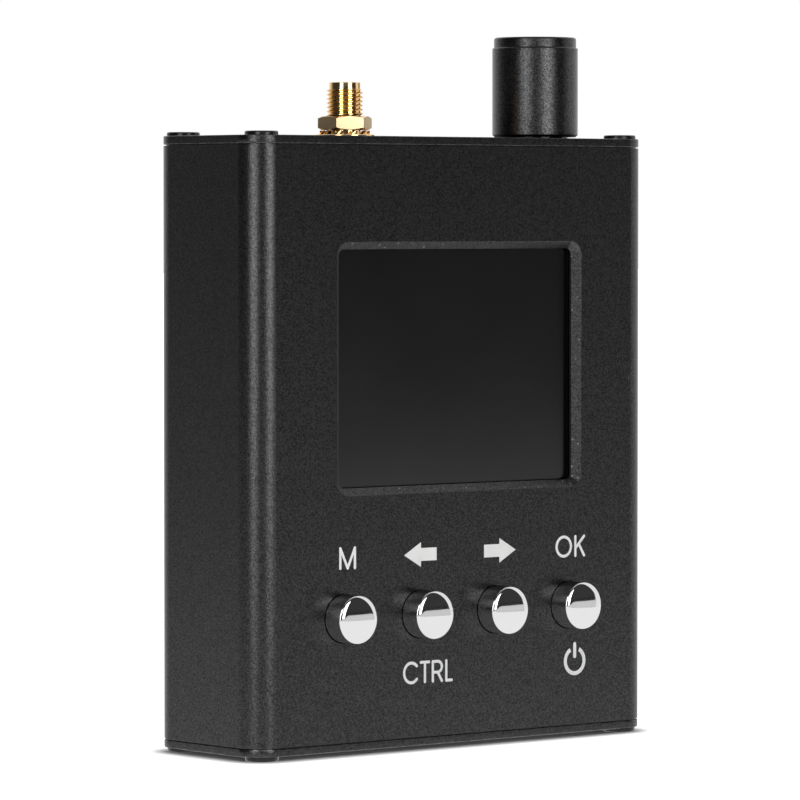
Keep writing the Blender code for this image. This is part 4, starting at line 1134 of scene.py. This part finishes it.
def set_inputs(tree, node, inputs):
    """Links each input to a socket, or sets it to a plain value."""
    for name, value in inputs.items():
        if isinstance(value, bpy.types.NodeSocket):
            tree.links.new(value, node.inputs[name])
        else:
            node.inputs[name].default_value = value


def add_node(tree, kind, inputs=None, **settings):
    """A shader node with its settings and inputs."""
    node = tree.nodes.new(f"ShaderNode{kind}")
    for name, value in settings.items():
        setattr(node, name, value)
    set_inputs(tree, node, inputs or {})
    return node


def math_node(tree, operation, first, second):
    return add_node(tree, "Math", {0: first, 1: second}, operation=operation).outputs[0]


def vector_node(tree, operation, *values):
    """The outputs of an operation on one or two vectors."""
    return add_node(tree, "VectorMath", dict(enumerate(values)), operation=operation).outputs


def ramp(tree, value, low, high, to_low=0.0, to_high=1.0, kind="SMOOTHSTEP"):
    """A value moved from one range to another."""
    inputs = {"Value": value, "From Min": low, "From Max": high, "To Min": to_low, "To Max": to_high}
    return add_node(tree, "MapRange", inputs, interpolation_type=kind).outputs[0]


def opaque(colour):
    """A plain colour with full alpha; a socket stays as it is."""
    return (*colour, 1.0) if isinstance(colour, tuple) else colour


def mix_colours(tree, factor, first, second):
    # A Mix node has its colour sockets after those for numbers and vectors
    inputs = {0: factor, 6: opaque(first), 7: opaque(second)}
    return add_node(tree, "Mix", inputs, data_type="RGBA").outputs[2]


def scaled(colour, share):
    return tuple(part * share for part in colour)


def attribute(tree, name):
    return add_node(tree, "Attribute", attribute_name=name).outputs["Fac"]


def object_place(tree):
    return add_node(tree, "TexCoord").outputs["Object"]


def noise(tree, scale, detail, roughness=0.5):
    """Noise on Object coordinates, in cycles per metre."""
    inputs = {"Vector": object_place(tree), "Scale": scale, "Detail": detail, "Roughness": roughness}
    return add_node(tree, "TexNoise", inputs).outputs["Fac"]


def cells(tree, scale):
    """Distances from the middles of scattered cells, and one random value for each cell."""
    found = add_node(tree, "TexVoronoi", {"Vector": object_place(tree), "Scale": scale}).outputs
    chance = add_node(tree, "SeparateColor", {"Color": found["Color"]}).outputs[0]
    return found["Distance"], chance


def new_group(name, inputs, outputs):
    """An empty node group with named float sockets, what it is given and its end node."""
    tree = bpy.data.node_groups.new(name, "ShaderNodeTree")
    for side, labels in (("INPUT", inputs), ("OUTPUT", outputs)):
        for label in labels:
            tree.interface.new_socket(label, in_out=side, socket_type="NodeSocketFloat")
    return tree, tree.nodes.new("NodeGroupInput").outputs, tree.nodes.new("NodeGroupOutput")


def place_group(tree, group, **values):
    """The outputs of a node group with its inputs set."""
    node = tree.nodes.new("ShaderNodeGroup")
    node.node_tree = group
    set_inputs(tree, node, values)
    return node.outputs


def blasted_grain_group():
    """Fine pits of a blasted skin: a height for bump, a speckle and a broader mottle for tone."""
    tree, given, made = new_group("blasted_grain", ("Scale",), ("Height", "Speckle", "Mottle"))
    height, speckle = cells(tree, given["Scale"])
    broad = math_node(tree, "MULTIPLY", given["Scale"], MOTTLE_SCALE_SHARE)
    set_inputs(tree, made, {"Height": height, "Speckle": speckle, "Mottle": noise(tree, broad, 3.0)})
    return tree


def dust_group():
    """Scattered specks: a mask that is 1 on a speck."""
    tree, given, made = new_group("dust", ("Scale", "Size"), ("Mask",))
    distance, chance = cells(tree, given["Scale"])
    limit = math_node(tree, "MULTIPLY", math_node(tree, "POWER", chance, 3.0), given["Size"])
    set_inputs(tree, made, {"Mask": math_node(tree, "LESS_THAN", distance, limit)})
    return tree


def rubbed_edge_group():
    """Broken wear along the edges that carry the edge attribute."""
    tree, given, made = new_group("rubbed_edge", ("Scale", "Amount"), ("Mask",))
    low = math_node(tree, "SUBTRACT", WEAR_START, given["Amount"])
    high = math_node(tree, "ADD", low, WEAR_BLEND)
    broken = ramp(tree, noise(tree, given["Scale"], 4.0), low, high)
    set_inputs(tree, made, {"Mask": math_node(tree, "MULTIPLY", attribute(tree, "edge"), broken)})
    return tree


def smudge_group():
    """Soft uneven patches, as handling leaves on a smooth surface."""
    tree, given, made = new_group("smudges", ("Scale", "Low", "High"), ("Roughness",))
    patches = noise(tree, given["Scale"], 5.0, 0.6)
    spread = ramp(tree, patches, *SMUDGE_RANGE, given["Low"], given["High"], "LINEAR")
    set_inputs(tree, made, {"Roughness": spread})
    return tree


def bump(tree, height, depth):
    return add_node(tree, "Bump", {"Height": height, "Distance": depth, "Strength": 1.0}).outputs["Normal"]


def new_material(name):
    """A material, its node tree and its shader."""
    material = bpy.data.materials.new(name)
    material.use_nodes = True
    return material, material.node_tree, material.node_tree.nodes["Principled BSDF"]


def black_anodised(name, groups, pits_per_metre, pit_depth, dark, light):
    """Bead-blasted and dyed aluminium: a dark metal skin, with dust and rubbed edges."""
    material, tree, shader = new_material(name)
    grain = place_group(tree, groups["grain"], Scale=pits_per_metre)
    darkest = (dark, dark, dark * DYE_BLUE)
    lightest = (light, light, light * DYE_BLUE)
    dye = mix_colours(tree, grain["Speckle"], darkest, lightest)
    # The faces of the window chamfer get a lighter tone than the rest of the skin
    chamfer_tone = mix_colours(tree, grain["Speckle"], CHAMFER_TONE_DARK, CHAMFER_TONE_LIGHT)
    facet = attribute(tree, "facet")
    edge = place_group(tree, groups["edge"], Scale=1100.0, Amount=0.36)
    rubbed = mix_colours(tree, edge["Mask"], mix_colours(tree, facet, dye, chamfer_tone), RUBBED_TONE)
    dust = place_group(tree, groups["dust"], Scale=330.0, Size=0.045)
    swarf = place_group(tree, groups["dust"], Scale=1300.0, Size=0.24)
    caught = math_node(tree, "MULTIPLY", swarf["Mask"], facet)
    specks = math_node(tree, "MAXIMUM", dust["Mask"], caught)
    look = {
        "Base Color": mix_colours(tree, specks, rubbed, DUST_TONE),
        "Metallic": math_node(tree, "SUBTRACT", 1.0, specks),
        "Roughness": ramp(tree, grain["Mottle"], *MOTTLE_RANGE, *SKIN_ROUGHNESS),
        "Normal": bump(tree, grain["Height"], pit_depth),
    }
    set_inputs(tree, shader, look)
    return material


def black_screw(groups):
    """Black oxide on a smooth steel head."""
    material, tree, shader = new_material("black_screw")
    smudge = place_group(tree, groups["smudge"], Scale=900.0, Low=0.16, High=0.32)
    grain = place_group(tree, groups["grain"], Scale=7000.0)
    look = {
        "Base Color": mix_colours(tree, grain["Mottle"], SCREW_DARK, SCREW_LIGHT),
        "Metallic": SCREW_METALLIC,
        "Roughness": smudge["Roughness"],
        "Normal": bump(tree, grain["Height"], SCREW_GRAIN_DEPTH),
    }
    set_inputs(tree, shader, look)
    return material


def polished_metal(name, groups, colour, shade, low, high):
    """A plated or bare metal whose polish and tone vary a little."""
    material, tree, shader = new_material(name)
    smudge = place_group(tree, groups["smudge"], Scale=500.0, Low=low, High=high)
    tone = mix_colours(tree, noise(tree, 700.0, 3.0), colour, scaled(colour, shade))
    set_inputs(tree, shader, {"Base Color": tone, "Metallic": 1.0, "Roughness": smudge["Roughness"]})
    return material


def smooth_plastic(name, groups, colour, low, high, grains_per_metre, grain_depth):
    """A moulded or coated surface with a fine skin."""
    material, tree, shader = new_material(name)
    grain = place_group(tree, groups["grain"], Scale=grains_per_metre)
    smudge = place_group(tree, groups["smudge"], Scale=300.0, Low=low, High=high)
    look = {
        "Base Color": mix_colours(tree, grain["Mottle"], scaled(colour, PLASTIC_SHADE), colour),
        "Metallic": 0.0,
        "Roughness": smudge["Roughness"],
        "Normal": bump(tree, grain["Height"], grain_depth),
    }
    set_inputs(tree, shader, look)
    return material


def smoked_pane(groups):
    """Dark cover glass with a soft anti-glare face and a few specks on it."""
    material, tree, shader = new_material("smoked_pane")
    smudge = place_group(tree, groups["smudge"], Scale=45.0, Low=0.18, High=0.20)
    dust = place_group(tree, groups["dust"], Scale=380.0, Size=0.03)
    look = {
        "Base Color": mix_colours(tree, dust["Mask"], PANE_TONE, PANE_DUST_TONE),
        "Metallic": 0.0,
        "Roughness": smudge["Roughness"],
        "IOR": PANE_IOR,
    }
    set_inputs(tree, shader, look)
    return material


def make_finishes():
    """One material for each finish slot of the record, and those of the knob, the nut and the ink."""
    groups = {
        "grain": blasted_grain_group(),
        "dust": dust_group(),
        "edge": rubbed_edge_group(),
        "smudge": smudge_group(),
    }
    finishes = {"black_screw": black_screw(groups), "smoked_pane": smoked_pane(groups)}
    for make, table in ((black_anodised, SKINS), (polished_metal, METALS), (smooth_plastic, PLASTICS)):
        for name, values in table.items():
            finishes[name] = make(name, groups, *values)
    return finishes


def finish_nodes(finishes):
    """Gives every CAD node the material of its finish slot."""
    for part in frame["record"]["subparts"]:
        mesh = frame["nodes"][part["node"]].data
        mesh.materials.clear()
        mesh.materials.append(finishes[part["material_slot"]])


# Studio

def make_camera():
    data = bpy.data.cameras.new("camera")
    data.lens = CAMERA_LENS
    data.sensor_width = CAMERA_SENSOR
    data.clip_start, data.clip_end = CAMERA_CLIP
    camera = add_object("camera", data)
    level = math.cos(CAMERA_PITCH)
    ahead = Vector((math.sin(CAMERA_YAW) * level, math.cos(CAMERA_YAW) * level, math.sin(CAMERA_PITCH)))
    camera.location = Vector(CAMERA_PLACE) + Vector((0, FRONT, 0))
    camera.rotation_euler = ahead.to_track_quat("-Z", "Y").to_euler()
    bpy.context.scene.camera = camera


def make_lamps():
    for name, (place, width, height, watts) in LAMPS.items():
        data = bpy.data.lights.new(name, "AREA")
        data.shape = "RECTANGLE"
        data.size = width
        data.size_y = height
        data.energy = watts
        lamp = add_object(name, data)
        lamp.location = place
        lamp.rotation_euler = (Vector(LAMP_AIM) - Vector(place)).to_track_quat("-Z", "Y").to_euler()
        lamp.visible_camera = False


def sweep_level(tree, direction):
    """1 towards the white sweep, which has a sharp edge on the right and a soft one at the back left."""
    right = vector_node(tree, "DOT_PRODUCT", direction, SWEEP_RIGHT)["Value"]
    left = vector_node(tree, "DOT_PRODUCT", direction, SWEEP_LEFT)["Value"]
    sharp = ramp(tree, right, *SWEEP_RIGHT_EDGE)
    return math_node(tree, "MINIMUM", sharp, ramp(tree, left, *SWEEP_LEFT_EDGE))


def mirrored_level(tree, place):
    """How bright the floor is in reflections: paper, its shade line, the table and the sweep behind."""
    reach = vector_node(tree, "LENGTH", place)["Value"]
    direction = vector_node(tree, "NORMALIZE", place)[0]
    paper = ramp(tree, reach, PAPER_REACH, PAPER_REACH + PAPER_EDGE, PAPER_LEVEL, PAPER_SHADE_LEVEL)
    shaded = PAPER_REACH + PAPER_SHADE
    table = ramp(tree, reach, shaded, shaded + PAPER_EDGE, 0.0, TABLE_LEVEL)
    table = math_node(tree, "MAXIMUM", paper, table)
    ended = ramp(tree, reach, TABLE_REACH, TABLE_REACH * TABLE_FADE, 1.0, TABLE_FAR_SHARE)
    front = math_node(tree, "MULTIPLY", table, ended)
    behind = math_node(tree, "MULTIPLY", sweep_level(tree, direction), SWEEP_LEVEL)
    return math_node(tree, "MAXIMUM", front, behind)


def contact_level(tree, place):
    """0 under the case and 1 a little way outside its outline: a painted shade ramp on the floor's glow.
    """
    away = vector_node(tree, "SUBTRACT", place, (0, MIDDLE, 0))[0]
    half = (SLEEVE_HIGH.x - CASE_CORNER, SLEEVE_HIGH.y - MIDDLE - CASE_CORNER, 0)
    past = vector_node(tree, "SUBTRACT", vector_node(tree, "ABSOLUTE", away)[0], half)[0]
    past = vector_node(tree, "MAXIMUM", past, (0, 0, 0))[0]
    gap = vector_node(tree, "LENGTH", past)["Value"]
    return ramp(tree, gap, CASE_CORNER + CONTACT_START, CASE_CORNER + CONTACT_END)


def floor_paper():
    """White paper on a white table: with painted shade under the object over its real shadow, and in
    reflections dark beyond the table.
    """
    material = bpy.data.materials.new("floor")
    material.use_nodes = True
    tree = material.node_tree
    tree.nodes.clear()
    place = object_place(tree)
    path = add_node(tree, "LightPath").outputs
    reflected = math_node(tree, "MAXIMUM", path["Is Glossy Ray"], path["Is Transmission Ray"])
    # The glow that the camera sees fades out near the case: painted shade
    seen = math_node(tree, "MULTIPLY", contact_level(tree, place), path["Is Camera Ray"])
    glow = add_node(tree, "Emission", {"Strength": seen}).outputs[0]
    white = add_node(tree, "BsdfDiffuse", {"Color": FLOOR_TONE}).outputs[0]
    lit = add_node(tree, "AddShader", {0: white, 1: glow}).outputs[0]
    mirrored = add_node(tree, "Emission", {"Strength": mirrored_level(tree, place)}).outputs[0]
    both = add_node(tree, "MixShader", {0: reflected, 1: lit, 2: mirrored}).outputs[0]
    add_node(tree, "OutputMaterial", {"Surface": both})
    return material


def make_floor():
    shape = bmesh.new()
    bmesh.ops.create_grid(shape, x_segments=1, y_segments=1, size=FLOOR_REACH)
    mesh = mesh_of("floor", shape)
    mesh.materials.append(floor_paper())
    add_object("floor", mesh)


def make_world():
    """White to the camera; to the rest of the light, a white sweep behind, a white top and a dim front."""
    world = bpy.data.worlds.new("studio")
    bpy.context.scene.world = world
    world.use_nodes = True
    tree = world.node_tree
    tree.nodes.clear()
    direction = add_node(tree, "TexCoord").outputs["Generated"]
    sweep = ramp(tree, sweep_level(tree, direction), 0.0, 1.0, ROOM_LEVEL, SWEEP_LEVEL)
    height = add_node(tree, "SeparateXYZ", {"Vector": direction}).outputs["Z"]
    top = ramp(tree, height, *TOP_EDGE, 0.0, TOP_LEVEL)
    level = math_node(tree, "MAXIMUM", sweep, top)
    white = opaque((1.0, 1.0, 1.0))
    room = add_node(tree, "Background", {"Color": white, "Strength": level}).outputs[0]
    backdrop = add_node(tree, "Background", {"Color": white, "Strength": 1.0}).outputs[0]
    seen = add_node(tree, "LightPath").outputs["Is Camera Ray"]
    shown = add_node(tree, "MixShader", {0: seen, 1: room, 2: backdrop}).outputs[0]
    add_node(tree, "OutputWorld", {"Surface": shown})


def main():
    bpy.context.scene.view_settings.view_transform = "Standard"
    make_camera()
    make_world()
    make_floor()
    make_lamps()
    finishes = make_finishes()
    finish_nodes(finishes)
    make_sleeve(finishes)
    make_plates(finishes)
    make_screws(finishes)
    make_keys(finishes)
    make_socket(finishes)
    make_knob(finishes)
    make_legends(finishes)


main()
